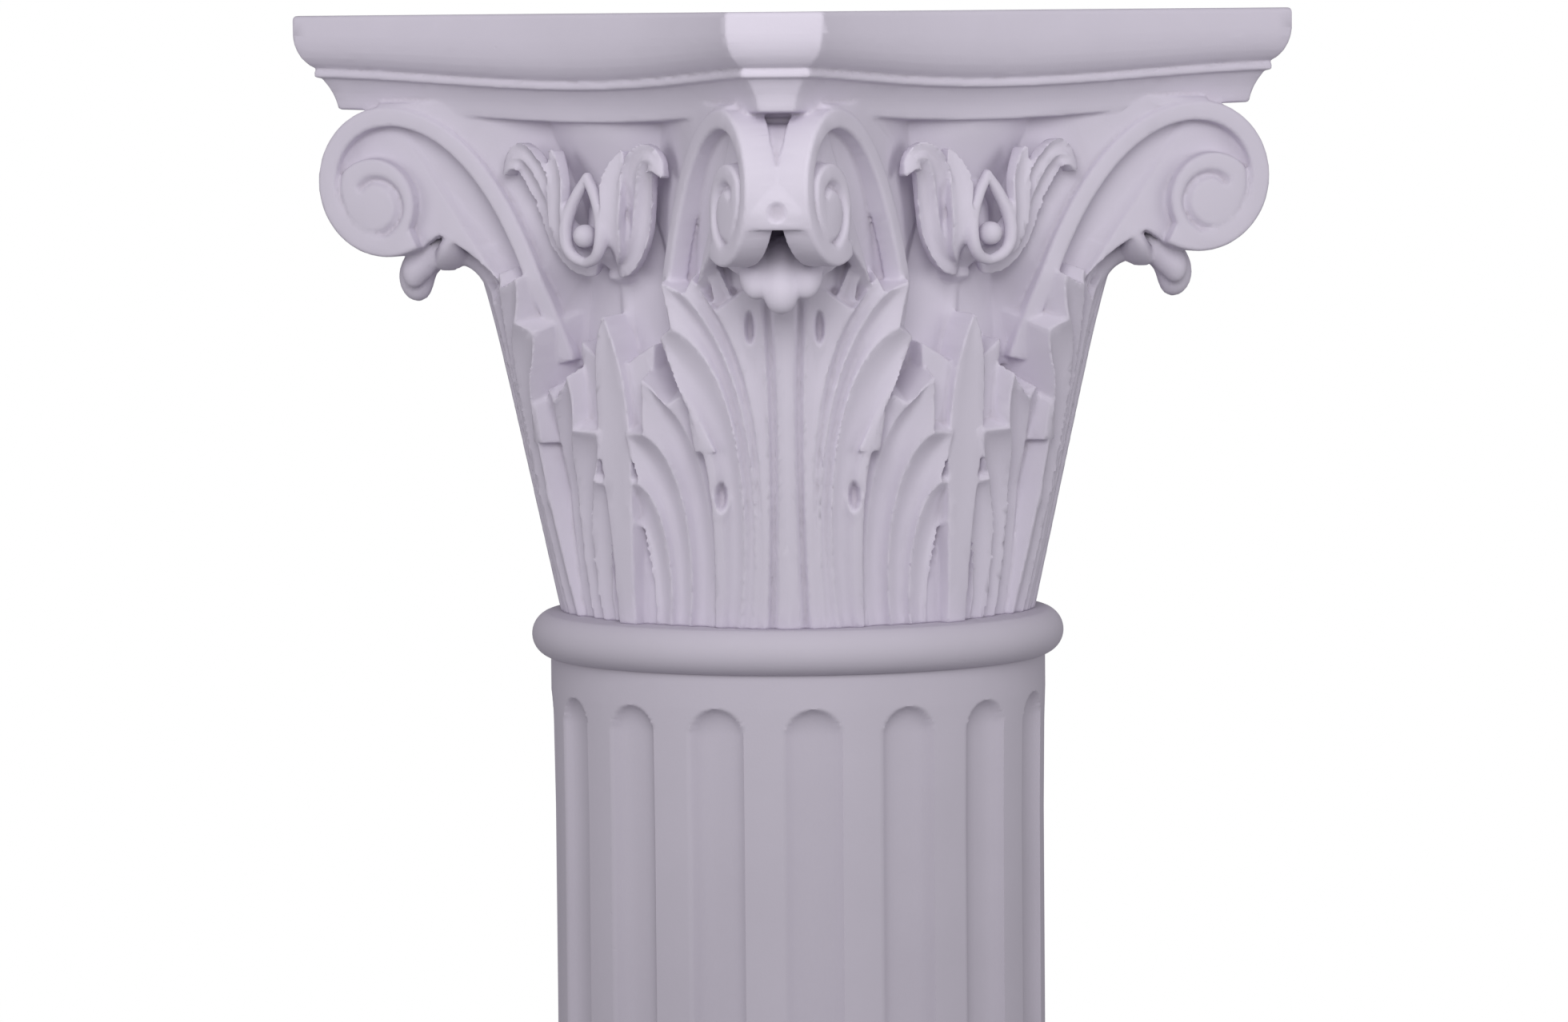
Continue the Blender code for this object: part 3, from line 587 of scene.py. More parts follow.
# %% Volute plate
NOSE_DISTANCE, NOSE_HALF_WIDTH = 239.3, 14.5
SPLAY = math.radians(22)
SCROLL_RADIUS, SCROLL_DEPTH = 37.6, 83.5
RIM_WIDTH, STALK_RIM_WIDTH = 10.0, 9.5
WEB_SINK, WEB_BACK = 8.2, 15.5
DISC_RADIUS, DISC_TOWARD_NOSE, DISC_DROP = 23.4, 7.4, 11.6
STALK_FOOT = (99.0, 172.0)
FOOT_SINK_START, FOOT_SINK = 132.0, 0.30
PLATE_THICKNESS, PLATE_GAIN = 10.2, 8.6


def on_plate(run, depth, inward):
    """From run toward the bell, depth below the top and distance inward, all in millimetres, to metres."""
    run, depth, inward = np.broadcast_arrays(run, depth, inward)
    inward = inward + FOOT_SINK * np.maximum(depth - FOOT_SINK_START, 0)
    along = run + SCROLL_RADIUS
    x = NOSE_DISTANCE - along * math.cos(SPLAY) - inward * math.sin(SPLAY)
    y = NOSE_HALF_WIDTH + along * math.sin(SPLAY) - inward * math.cos(SPLAY)
    return np.stack([x * MM, y * MM, TOP - depth * MM], axis=-1)


def plate_thickness(depth):
    """Thicker toward the scroll's top, so the panel between the two plates widens only slowly."""
    return PLATE_THICKNESS + PLATE_GAIN * np.clip((SCROLL_DEPTH - depth) / SCROLL_RADIUS, 0, 1)


def plate_solid(outline, front):
    """A flat plate between its sunk front and its back."""
    outline = np.array(outline)
    rings = [on_plate(outline[:, 0], outline[:, 1], front)]
    rings.append(on_plate(outline[:, 0], outline[:, 1], WEB_BACK))
    return tube(np.stack(rings))


scroll_top = (0.0, SCROLL_DEPTH - SCROLL_RADIUS)
stalk_edge = bent(
    (STALK_FOOT, (STALK_FOOT[0] - 12, 118), (56, scroll_top[1] + 0.5), scroll_top),
    50,
)
scroll_turn = np.radians(np.linspace(-90, -325, 90))
scroll_edge = np.stack(
    [SCROLL_RADIUS * np.cos(scroll_turn), SCROLL_DEPTH + SCROLL_RADIUS * np.sin(scroll_turn)], axis=1
)
inner_edge = bent(((26, 110), (52, 122), (70, 140), (STALK_FOOT[0] - 17, STALK_FOOT[1])), 24)
closing = scroll_turn > math.radians(-290)
web = plate_solid(np.concatenate([stalk_edge, scroll_edge[closing], inner_edge]), WEB_SINK)

rim_line = np.concatenate([stalk_edge[:-1], scroll_edge[scroll_turn > math.radians(-300)]])
rim_ahead = np.gradient(rim_line, axis=0)
rim_ahead /= np.linalg.norm(rim_ahead, axis=1)[:, None]
rim_inward = np.stack([-rim_ahead[:, 1], rim_ahead[:, 0]], axis=1)
if (rim_inward[-10] @ (np.array([0, SCROLL_DEPTH]) - rim_line[-10])) < 0:
    rim_inward = -rim_inward
# Sideways from the rim's outer edge, for the last four points from its inner edge, and how far below its
# face each point lies, where None is the plate's back
RIM_SECTION = ((0, None), (0, 1.6), (0.35, 0.5), (1.4, 0), (-1.4, 0.25), (-0.35, 0.7), (0, 1.6), (0, None))
rim_rings = []
for number, (place, normal) in enumerate(zip(rim_line, rim_inward)):
    width = STALK_RIM_WIDTH if number < len(stalk_edge) - 1 else RIM_WIDTH
    thick = float(plate_thickness(place[1]))
    ring = []
    for k, (side, sink) in enumerate(RIM_SECTION):
        at = place + normal * (side if k < 4 else width + side)
        ring.append(on_plate(at[0], at[1], thick if sink is None else sink))
    rim_rings.append(ring)
rim = tube(np.array(rim_rings))
print("volute rim of", len(rim_rings), "rings")

# %% Disc with its cut spiral
SPIRAL = (
    (-25.5, -9.0), (-27.0, 0.0), (-26.0, 10.0), (-20.5, 20.5), (-11.5, 26.8), (-2.0, 26.3),
    (5.5, 20.5), (8.1, 12.3), (5.0, 4.2), (-1.5, -0.2), (-8.5, -0.6), (-13.5, 2.4),
)
CUT_DEPTH, CUT_WIDTH = 4.2, 1.8
DISC_ROUNDING, DISC_FALL, DISC_ROOT = 1.4, 1.2, WEB_SINK + 2.0
spiral_line = through(SPIRAL, 160)
disc_rings = []
around = np.linspace(0, 2 * math.pi, 150, endpoint=False)
for radius in np.linspace(0.3, DISC_RADIUS, 46):
    run = radius * np.cos(around) - DISC_TOWARD_NOSE
    drop = radius * np.sin(around) + DISC_DROP
    nearest = np.hypot(run[:, None] - spiral_line[:, 0], drop[:, None] - spiral_line[:, 1]).min(axis=1)
    cut = CUT_DEPTH * np.exp(-((nearest / CUT_WIDTH) ** 2))
    edge = DISC_FALL * np.clip((radius - DISC_RADIUS + DISC_ROUNDING) / DISC_ROUNDING, 0, 1) ** 2
    disc_rings.append(on_plate(run, SCROLL_DEPTH + drop, cut + edge))
back = on_plate(
    DISC_RADIUS * np.cos(around) - DISC_TOWARD_NOSE,
    SCROLL_DEPTH + DISC_DROP + DISC_RADIUS * np.sin(around),
    DISC_ROOT,
)
disc = tube(np.array(disc_rings + [back]))

# %% Shoulder behind the stalk
SHOULDER_LAP, SHOULDER_RUN, SHOULDER_TOP = 4.0, 150.0, 44.0
SHOULDER_SINK, SHOULDER_SLOPE = 2.5, 0.050
lapped = stalk_edge + np.array([-SHOULDER_LAP, SHOULDER_LAP])
shoulder_outline = np.concatenate(
    [
        lapped,
        [(-SHOULDER_LAP, SHOULDER_TOP), (SHOULDER_RUN, SHOULDER_TOP), (SHOULDER_RUN, STALK_FOOT[1])],
    ]
)
sinks = SHOULDER_SINK + SHOULDER_SLOPE * (shoulder_outline[:, 1] - SHOULDER_TOP)
shoulder_face = on_plate(shoulder_outline[:, 0], shoulder_outline[:, 1], sinks)
shoulder_middle = shoulder_face * (1, 0, 1) + np.array([0, -SHOULDER_LAP * MM, 0])
shoulder = tube(np.stack([shoulder_face, shoulder_middle]))

one_volute = [web, rim, disc, shoulder]
corner_parts += one_volute + [mirrored(part) for part in one_volute]

# %% [markdown]
# ## Nose between the plates
# Where the two plates part, the valley between them is filled a little below their rims, which leaves the
# narrow panel that runs down to the nose. Under the nose the valley stays open and goes dark.

# %% Valley filler
FILL_HALF_WIDTH = 14.0
FILL_FLUSH, FILL_RECESS, FILL_BACK = 36.9, 6.4, 2.6
fill_turn = np.radians(np.linspace(-32, 90, 50))
fill_radius = FILL_FLUSH - FILL_RECESS * np.clip((np.degrees(fill_turn) + 18) / 28, 0, 1)
fill_outline = np.stack(
    [
        NOSE_DISTANCE - SCROLL_RADIUS * math.cos(SPLAY) + (fill_radius - FILL_BACK) * np.cos(fill_turn),
        SCROLL_DEPTH - fill_radius * np.sin(fill_turn),
    ],
    axis=1,
)
FILL_BEHIND = ((190.0, 43.0), (150.0, 43.0), (150.0, 96.0), (205.0, 96.0))
fill_outline = np.concatenate([fill_outline, FILL_BEHIND])
fill_rings = []
for side in (-FILL_HALF_WIDTH, FILL_HALF_WIDTH):
    aside = np.full(len(fill_outline), side * MM)
    fill_rings.append(np.stack([fill_outline[:, 0] * MM, aside, TOP - fill_outline[:, 1] * MM], axis=1))
corner_parts.append(tube(np.stack(fill_rings)))

# The body goes on behind the leaf's upper tips, so nothing hollow shows beside the curl
CORE = (
    # distance from the column's axis, height, radius
    (96, 100, 12),
    (101, 138, 18),
    (117, 158, 29),
    (122, 170, 36),
    (120, 186, 38),
    (113, 202, 37),
    (113, 250, 38),
)


def post(levels, around=36):
    """A turned post on the group's own axis; levels are (axis distance, height, radius) in millimetres."""
    turn = np.linspace(0, 2 * math.pi, around, endpoint=False)
    rings = []
    for axis, height, radius in levels:
        ring = [(axis + radius * np.cos(turn)) * MM, radius * np.sin(turn) * MM]
        rings.append(np.stack(ring + [np.full(around, CAPITAL_FOOT + height * MM)], axis=1))
    return tube(np.stack(rings))


corner_parts.append(post(CORE))
print("corner group", len(corner_parts), "parts")

# %% [markdown]
# ## Middle leaf
# Between the corner leaves a narrower leaf stands back against the bell. It has one broad pointed lobe down
# its middle and three pairs of flat teeth that step inward toward the foot, each with a level ledge below it.

# %% Middle leaf
MIDDLE_LOBE = (
    (6.5, (6.5, 64), (21.0, 118), (0.6, 153), 0.0, 0.0),
    (0.0, (0.0, 64), (0.0, 118), (0.0, 153.4), 0.3, 1.8),
)
MIDDLE_WALL_LIFT = 2.0 * MM
half_middle = [
    fan(middle_radius, MIDDLE_LOBE, stand=2.6, tip_out=2.0, wall_lift=MIDDLE_WALL_LIFT, between=14),
    panel(middle_radius, ((4, 101.5), (24.0, 101.5), (27.5, 140.0), (4, 127.0)), -2.4, MIDDLE_WALL_LIFT),
    panel(middle_radius, ((3, 76.5), (18.5, 76.5), (19.0, 104.0), (3, 104.0)), -4.4, MIDDLE_WALL_LIFT),
    panel(middle_radius, ((2, 54.5), (14.0, 54.5), (14.5, 79.0), (2, 79.0)), -5.4, MIDDLE_WALL_LIFT),
]
side_parts = half_middle + [mirrored(part) for part in half_middle]

# %% [markdown]
# ## Stalk, ring, cup and calyx
# At mid side a short stem carries a ring, and above the ring a bud opens: a hollow with a thick pointed rim
# and a ball in it, a pointed blade on either side, and an outer blade that curls over the volute's stalk.
# The blades are swept along bent lines, and each is gouged lengthwise, the outer one twice.

# %% Stalk, ring and cup
STEM_AND_CUP = (
    # distance from the column's axis, height, radius
    (108.3, 110, 6.2),
    (108.3, 152, 6.2),
    (108.5, 168, 6.8),
    (110.8, 170.5, 9.0),
    (111.6, 171.3, 10.2),
    (111.6, 174.6, 10.2),
    (111.5, 175.6, 9.0),
    (113.0, 178.5, 11.5),
    (114.5, 183.0, 14.5),
    (116.0, 192.0, 17.0),
    (116.0, 206.0, 16.5),
    (114.0, 218.0, 13.0),
)
side_parts.append(post(STEM_AND_CUP))
BALL_DISTANCE, BALL_LOW, BALL_HIGH, BALL_RADIUS = 140.5, 187.0, 199.0, 6.0
ball_heights = np.linspace(BALL_LOW, BALL_HIGH, 15)
ball_line = np.array([[BALL_DISTANCE * MM, 0, CAPITAL_FOOT + height * MM] for height in ball_heights])
ball_radii = BALL_RADIUS * MM * np.sqrt(np.clip(1 - np.linspace(-1, 1, 15) ** 2, 0.004, 1))
side_parts.append(sausage(ball_line, ball_radii))
# Half of the spoon's rim, from its point to its foot: distance, side, height
SPOON_RIM = (
    (138.5, -1.5, 223),
    (139.5, 5.5, 214.5),
    (140.5, 11.0, 205),
    (141.5, 13.4, 196),
    (141.5, 12.0, 187.5),
    (140.5, 7.0, 182),
    (139.5, -1.5, 179.5),
)
rim_way = through(SPOON_RIM, 44) * MM + np.array([0, 0, CAPITAL_FOOT])
rim_swell = np.sin(np.linspace(0.12, 0.88, 44) * math.pi)
spoon_rim = sausage(rim_way, (2.0 + 1.4 * rim_swell) * MM, across=(1.0, 0.0, 0.0))
side_parts += [spoon_rim, mirrored(spoon_rim)]
print("middle leaf and cup", len(side_parts), "parts")

# %% Calyx blades
def calyx_blade(stations, channels, steps=44, columns=25):
    """Stations, from foot to tip, are (distance, degrees from mid side, height, half width, gouge)."""
    line = through(stations, steps)
    distance, degrees, height, half, gouge = (line[:, i] for i in range(5))
    turn = np.radians(degrees)
    middle = np.stack([distance * np.cos(turn), distance * np.sin(turn), height], axis=1)
    ahead = np.gradient(middle, axis=0)
    ahead /= np.linalg.norm(ahead, axis=1)[:, None]
    outward = np.stack([np.cos(turn), np.sin(turn), np.zeros(steps)], axis=1)
    across = np.cross(ahead, outward)
    across /= np.linalg.norm(across, axis=1)[:, None]
    proud = np.cross(across, ahead)
    side = np.linspace(-1, 1, columns)[None, :, None]
    hollow = np.abs(np.sin(math.pi * (side + 1) / 2 * channels)) ** 0.8 * gouge[:, None, None]
    front = middle[:, None] + across[:, None] * side * half[:, None, None] + proud[:, None] * (1.5 - hollow)
    back = middle[:, None] + across[:, None] * side * half[:, None, None] * 0.9
    back = back - proud[:, None] * (5.0 + 2.0 * (1 - side**2))
    place = np.array([0.0, 0.0, CAPITAL_FOOT])
    return carved_sheet(front * MM + place, back * MM + place)


outer_blade = calyx_blade(
    (
        (125, 3.0, 180, 8.0, 0.0),
        (131, 7.5, 184, 10.5, 1.0),
        (136, 11.5, 195, 10.8, 3.0),
        (140, 13.5, 210, 10.8, 3.8),
        (145, 15.5, 224, 10.0, 3.4),
        (149, 18.0, 231, 8.0, 2.4),
        (152, 20.8, 229, 5.0, 1.0),
        (153, 22.5, 222.5, 1.2, 0.2),
    ),
    channels=2,
)
inner_blade = calyx_blade(
    (
        (127, 4.0, 181, 4.5, 0.0),
        (138, 7.2, 187, 5.4, 1.2),
        (143, 8.2, 200, 5.8, 2.2),
        (143, 8.4, 218, 7.0, 2.6),
        (141.5, 9.8, 229, 4.2, 1.2),
        (141, 10.8, 235, 1.0, 0.0),
    ),
    channels=1,
)
half_calyx = [outer_blade, inner_blade]
side_parts += half_calyx + [mirrored(part) for part in half_calyx]
print("side group", len(side_parts), "parts")

# %% [markdown]
# ## Four turns
# The corner group and the side group come four times round the axis. That is a job for Geometry Nodes: a
# small tree sets a copy on each of four points, turns it by its number, and makes the copies real.

# %% Turned copies by Geometry Nodes
def node(tree, kind, values=(), **settings):
    """A node with its settings; a value is a number to keep or a socket to link from."""
    made = tree.nodes.new(kind)
    for name, value in settings.items():
        setattr(made, name, value)
    for name, value in dict(values).items():
        if isinstance(value, bpy.types.NodeSocket):
            tree.links.new(value, made.inputs[name])
        else:
            made.inputs[name].default_value = value
    return made


def reckon(tree, operation, first, second=0.0, third=0.0):
    """One step of arithmetic in a tree, on numbers or sockets."""
    return node(tree, "ShaderNodeMath", {0: first, 1: second, 2: third}, operation=operation).outputs[0]


def new_tree(name, sizes):
    """A Geometry Nodes tree with a geometry input and named sizes."""
    tree = bpy.data.node_groups.new(name, "GeometryNodeTree")
    tree.interface.new_socket("Geometry", in_out="INPUT", socket_type="NodeSocketGeometry")
    for label, kind in sizes:
        tree.interface.new_socket(label, in_out="INPUT", socket_type=kind)
    tree.interface.new_socket("Geometry", in_out="OUTPUT", socket_type="NodeSocketGeometry")
    return tree, tree.nodes.new("NodeGroupInput"), tree.nodes.new("NodeGroupOutput")


def finish_tree(tree, start, end, geometry):
    """Makes copies real and gives them their plaster, as each tree here ends."""
    real = node(tree, "GeometryNodeRealizeInstances", {"Geometry": geometry})
    coat = {"Geometry": real.outputs[0], "Material": start.outputs["Plaster"]}
    coated = node(tree, "GeometryNodeSetMaterial", coat)
    tree.links.new(coated.outputs[0], end.inputs[0])


def settled(made, tree, values):
    """Runs a tree on an object and keeps the plain mesh that comes out."""
    step = made.modifiers.new(tree.name, "NODES")
    step.node_group = tree
    for item in tree.interface.items_tree:
        if item.in_out == "INPUT" and item.name in values:
            step[item.identifier] = values[item.name]
    return plain_mesh(made)


def plain_mesh(made):
    """Keeps what the object's modifiers make as its own mesh."""
    bpy.context.view_layer.update()
    graph = bpy.context.evaluated_depsgraph_get()
    result = bpy.data.meshes.new_from_object(made.evaluated_get(graph))
    made.modifiers.clear()
    old = made.data
    made.data = result
    bpy.data.meshes.remove(old)
    return made


plaster = bpy.data.materials.new("capital plaster")
turns, start, end = new_tree(
    "four turns",
    (("Copies", "NodeSocketInt"), ("First turn", "NodeSocketFloat"), ("Plaster", "NodeSocketMaterial")),
)
spots = node(turns, "GeometryNodeMeshLine", {"Count": start.outputs["Copies"], "Offset": (0, 0, 0)})
number = node(turns, "GeometryNodeInputIndex")
step = reckon(turns, "DIVIDE", 2 * math.pi, start.outputs["Copies"])
turned = reckon(turns, "MULTIPLY_ADD", number.outputs[0], step, start.outputs["First turn"])
about_z = node(turns, "ShaderNodeCombineXYZ", {"Z": turned})
copies = node(
    turns,
    "GeometryNodeInstanceOnPoints",
    {"Points": spots.outputs[0], "Instance": start.outputs["Geometry"], "Rotation": about_z.outputs[0]},
)
finish_tree(turns, start, end, copies.outputs[0])

corners = mesh_of("corners", corner_parts)
sides = mesh_of("sides", side_parts)
settled(corners, turns, {"Copies": 4, "First turn": math.pi / 4, "Plaster": plaster})
settled(sides, turns, {"Copies": 4, "First turn": 0.0, "Plaster": plaster})
print("copied", len(corners.data.polygons) + len(sides.data.polygons), "faces")

# %% [markdown]
# ## One skin
# A casting has no seams between its parts. A voxel remesh throws away everything inside and leaves one closed
# skin, a few rounds of smoothing give the soft edges of a cast, and the mesh is then thinned where it is
# flat.

# %% Fuse, soften and sink the small holes
VOXEL = 0.00095
SOFTEN_ROUNDS = 5
TRIANGLE_TARGET = 192000

capital = mesh_of("capital_casting", [bell, abacus])
shape = bmesh.new()
for source in (capital, corners, sides):
    shape.from_mesh(source.data)
shape.to_mesh(capital.data)
shape.free()
for source in (corners, sides):
    bpy.data.objects.remove(source, do_unlink=True)
fuse = capital.modifiers.new("fuse", "REMESH")
fuse.mode = "VOXEL"
fuse.voxel_size = VOXEL
plain_mesh(capital)
print("fused skin", len(capital.data.polygons), "faces")

# The small holes are pushed in: (face x, height, half width, half height, depth, lip), in millimetres
HOLES = (
    (32.5, 66.0, 2.8, 7.0, 7.0, 1.0),
    (16.8, 150.0, 2.4, 8.0, 6.0, 0.8),
)
NOSE_DIMPLE = (0.0, 207.5, 4.8, 4.8, 3.6, 0.0)
LEAF_NEAR, LEAF_FAR, NOSE_NEAR = 118 * MM, 185 * MM, 225 * MM

skin = np.empty(len(capital.data.vertices) * 3)
capital.data.vertices.foreach_get("co", skin)
skin = skin.reshape(-1, 3)
for corner in range(4):
    turn = math.pi / 4 + corner * math.pi / 2
    ahead = np.array([math.cos(turn), math.sin(turn)])
    aside = np.array([-math.sin(turn), math.cos(turn)])
    out = skin[:, :2] @ ahead
    x = skin[:, :2] @ aside
    z = skin[:, 2] - CAPITAL_FOOT
    push = np.zeros(len(skin))
    for face_x, height, half_width, half_height, depth, lip in HOLES:
        away = np.hypot((np.abs(x) - face_x * MM) / (half_width * MM), (z - height * MM) / (half_height * MM))
        on_leaf = (out > LEAF_NEAR) & (out < LEAF_FAR)
        sunk = depth * np.clip(1 - away**2, 0, 1) ** 0.5
        raised = lip * np.exp(-(((away - 1.35) / 0.3) ** 2)) * (z < height * MM)
        push += on_leaf * (raised - sunk) * MM
    face_x, height, half_width, half_height, depth, lip = NOSE_DIMPLE
    away = np.hypot(x / (half_width * MM), (z - height * MM) / (half_height * MM))
    push -= (out > NOSE_NEAR) * depth * np.clip(1 - away**2, 0, 1) ** 0.5 * MM
    skin[:, :2] += push[:, None] * ahead
capital.data.vertices.foreach_set("co", skin.ravel())

soften = capital.modifiers.new("soften", "SMOOTH")
soften.factor = 0.5
soften.iterations = SOFTEN_ROUNDS
thin = capital.modifiers.new("thin", "DECIMATE")
thin.ratio = min(1.0, TRIANGLE_TARGET / (2 * len(capital.data.polygons)))
plain_mesh(capital)
print("capital", sum(len(p.vertices) - 2 for p in capital.data.polygons), "triangles")

# %% [markdown]
# ## Keep inside the solids' box
# Fusing moves the skin by a fraction of a millimetre, so the points are held inside the box of the solids.

# %% Hold inside the box
def hold_inside(made, low, high):
    """Moves stray points of a mesh back onto the faces of a box."""
    points = np.empty(len(made.data.vertices) * 3)
    made.data.vertices.foreach_get("co", points)
    points = np.clip(points.reshape(-1, 3), np.array(low), np.array(high))
    made.data.vertices.foreach_set("co", points.ravel())
    made.data.update()


hold_inside(capital, *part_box("capital"))
capital.data.shade_smooth()
capital.data.set_sharp_from_angle(angle=math.radians(60))

# %% [markdown]
# ## Fluted shaft
# The shaft follows a rule all the way: a profile turned round the axis, with the same flute cut sixteen
# times. So its surface is a Geometry Nodes tree. A grid is wrapped round the axis, each row takes its radius
# and height from a point of the profile, and one formula sinks the flutes: a round trough with a round end.

# %% Shaft profile
NECK_RADIUS, SHAFT_RADIUS, FOOT_RADIUS = 125.0 * MM, 123.9 * MM, 131.0 * MM
ASTRAGAL_RADIUS, ASTRAGAL_TUBE, BED_RADIUS = 134.4 * MM, 11.7 * MM, 118.0 * MM
NECK_BAND, NECK_EASE, FOOT_FILLET, FOOT_EASE, FOOT_CLEAR = 17 * MM, 60 * MM, 10 * MM, 20 * MM, 12 * MM
FLUTE_WIDTH, FLUTE_DEPTH, FLUTE_TURN, FLUTES = 27.3 * MM, 6.2 * MM, math.radians(5.4), 16

foot, bed = SHAFT_LOW.z, SHAFT_HIGH.z
tube_centre = ASTRAGAL_RADIUS - ASTRAGAL_TUBE
tube_height = bed - math.sqrt(ASTRAGAL_TUBE**2 - (tube_centre - BED_RADIUS) ** 2)
neck_top = tube_height - ASTRAGAL_TUBE * 0.97
neck_foot = neck_top - NECK_BAND
straight_foot = foot + FOOT_FILLET + FOOT_EASE
flute_low = straight_foot + FOOT_CLEAR + FLUTE_WIDTH / 2
flute_high = neck_foot - FLUTE_WIDTH / 2


def shaft_radius(height):
    rise = min(max((height - (neck_foot - NECK_EASE)) / NECK_EASE, 0), 1)
    return SHAFT_RADIUS + (NECK_RADIUS - SHAFT_RADIUS) * rise**2


fillet_top = foot + FOOT_FILLET
profile = [
    (FOOT_RADIUS - 1.2 * MM, foot),
    (FOOT_RADIUS, foot + 1.2 * MM),
    (FOOT_RADIUS, fillet_top - 1 * MM),
    (FOOT_RADIUS - 1 * MM, fillet_top),
]
for share in np.linspace(0.12, 1, 9):
    ease = 1 - math.sin(share * math.pi / 2)
    radius = SHAFT_RADIUS + (FOOT_RADIUS - SHAFT_RADIUS - 1 * MM) * ease
    profile.append((radius, fillet_top + share * FOOT_EASE))
low_end = np.linspace(straight_foot + 4 * MM, flute_low + 4 * MM, 20)
high_end = np.linspace(flute_high - 4 * MM, neck_foot + 2 * MM, 24)
middle = np.linspace(flute_low + 4 * MM, flute_high - 4 * MM, 16)[1:-1]
neck = np.linspace(neck_foot + 5 * MM, neck_top - 1 * MM, 4)
for height in np.concatenate([low_end, middle, high_end, neck]):
    profile.append((shaft_radius(float(height)), float(height)))
start_turn = -math.acos((NECK_RADIUS - tube_centre) / ASTRAGAL_TUBE)
end_turn = math.pi - math.acos((tube_centre - BED_RADIUS) / ASTRAGAL_TUBE)
for turn in np.linspace(start_turn, end_turn, 26):
    height = min(tube_height + ASTRAGAL_TUBE * math.sin(turn), bed)
    profile.append((tube_centre + ASTRAGAL_TUBE * math.cos(turn), height))
profile_mesh = bpy.data.meshes.new("shaft_profile")
profile_mesh.from_pydata([(r, 0, z) for r, z in profile], [(i, i + 1) for i in range(len(profile) - 1)], [])
shaft = placed("shaft_casting", profile_mesh)
print("profile of", len(profile), "points")

# %% Flutes by Geometry Nodes
SIZES = (
    ("Rows", "NodeSocketInt"),
    ("Columns", "NodeSocketInt"),
    ("Flutes", "NodeSocketInt"),
    ("Flute width", "NodeSocketFloat"),
    ("Flute depth", "NodeSocketFloat"),
    ("Flute turn", "NodeSocketFloat"),
    ("Shaft radius", "NodeSocketFloat"),
    ("Low end", "NodeSocketFloat"),
    ("High end", "NodeSocketFloat"),
    ("Plaster", "NodeSocketMaterial"),
)
fluting, start, end = new_tree("fluted shaft", SIZES)


def math_node(operation, first, second=0.0, third=0.0):
    return reckon(fluting, operation, first, second, third)


around_points = math_node("ADD", start.outputs["Columns"], 1.0)
sheet = node(
    fluting,
    "GeometryNodeMeshGrid",
    {"Size X": 1.0, "Size Y": 1.0, "Vertices X": around_points, "Vertices Y": start.outputs["Rows"]},
)
place = node(fluting, "ShaderNodeSeparateXYZ", {0: node(fluting, "GeometryNodeInputPosition").outputs[0]})
turn = math_node("MULTIPLY", math_node("ADD", place.outputs["X"], 0.5), 2 * math.pi)
last_row = math_node("SUBTRACT", start.outputs["Rows"], 1.0)
row = math_node("ROUND", math_node("MULTIPLY", math_node("ADD", place.outputs["Y"], 0.5), last_row))
on_profile = node(
    fluting,
    "GeometryNodeSampleIndex",
    {
        "Geometry": start.outputs["Geometry"],
        "Value": node(fluting, "GeometryNodeInputPosition").outputs[0],
        "Index": row,
    },
    data_type="FLOAT_VECTOR",
)
sampled = node(fluting, "ShaderNodeSeparateXYZ", {0: on_profile.outputs[0]})
pitch = math_node("DIVIDE", 2 * math.pi, start.outputs["Flutes"])
in_pitch = math_node("WRAP", math_node("SUBTRACT", turn, start.outputs["Flute turn"]), math.pi, -math.pi)
half_pitch = math_node("MULTIPLY", pitch, 0.5)
from_edge = math_node("FLOORED_MODULO", math_node("ADD", in_pitch, half_pitch), pitch)
wrapped = math_node("SUBTRACT", from_edge, half_pitch)
half_width = math_node("MULTIPLY", start.outputs["Flute width"], 0.5)
across = math_node("DIVIDE", math_node("MULTIPLY", wrapped, start.outputs["Shaft radius"]), half_width)
above = math_node("SUBTRACT", sampled.outputs["Z"], start.outputs["High end"])
below = math_node("SUBTRACT", start.outputs["Low end"], sampled.outputs["Z"])
beyond = math_node("DIVIDE", math_node("MAXIMUM", math_node("MAXIMUM", above, below), 0.0), half_width)
squares = math_node("ADD", math_node("POWER", across, 2.0), math_node("POWER", beyond, 2.0))
from_line = math_node("SQRT", squares)
left_over = math_node("MAXIMUM", math_node("SUBTRACT", 1.0, math_node("POWER", from_line, 2.4)), 0.0)
sunk = math_node("MULTIPLY", math_node("POWER", left_over, 0.62), start.outputs["Flute depth"])
radius = math_node("SUBTRACT", sampled.outputs["X"], sunk)
wrapped_place = node(
    fluting,
    "ShaderNodeCombineXYZ",
    {
        "X": math_node("MULTIPLY", radius, math_node("COSINE", turn)),
        "Y": math_node("MULTIPLY", radius, math_node("SINE", turn)),
        "Z": sampled.outputs["Z"],
    },
)
moved = node(
    fluting, "GeometryNodeSetPosition", {"Geometry": sheet.outputs[0], "Position": wrapped_place.outputs[0]}
)
welded = node(fluting, "GeometryNodeMergeByDistance", {"Geometry": moved.outputs[0], "Distance": 0.00002})
finish_tree(fluting, start, end, welded.outputs[0])

# Painted shade: the shaft is the same plaster as the capital, coloured darker so that it looks less lit
shaft_plaster = bpy.data.materials.new("shaft plaster")
COLUMNS_PER_FLUTE = 32
settled(
    shaft,
    fluting,
    {
        "Rows": len(profile),
        "Columns": FLUTES * COLUMNS_PER_FLUTE,
        "Flutes": FLUTES,
        "Flute width": FLUTE_WIDTH,
        "Flute depth": FLUTE_DEPTH,
        "Flute turn": FLUTE_TURN,
        "Shaft radius": SHAFT_RADIUS,
        "Low end": flute_low,
        "High end": flute_high,
        "Plaster": shaft_plaster,
    },
)


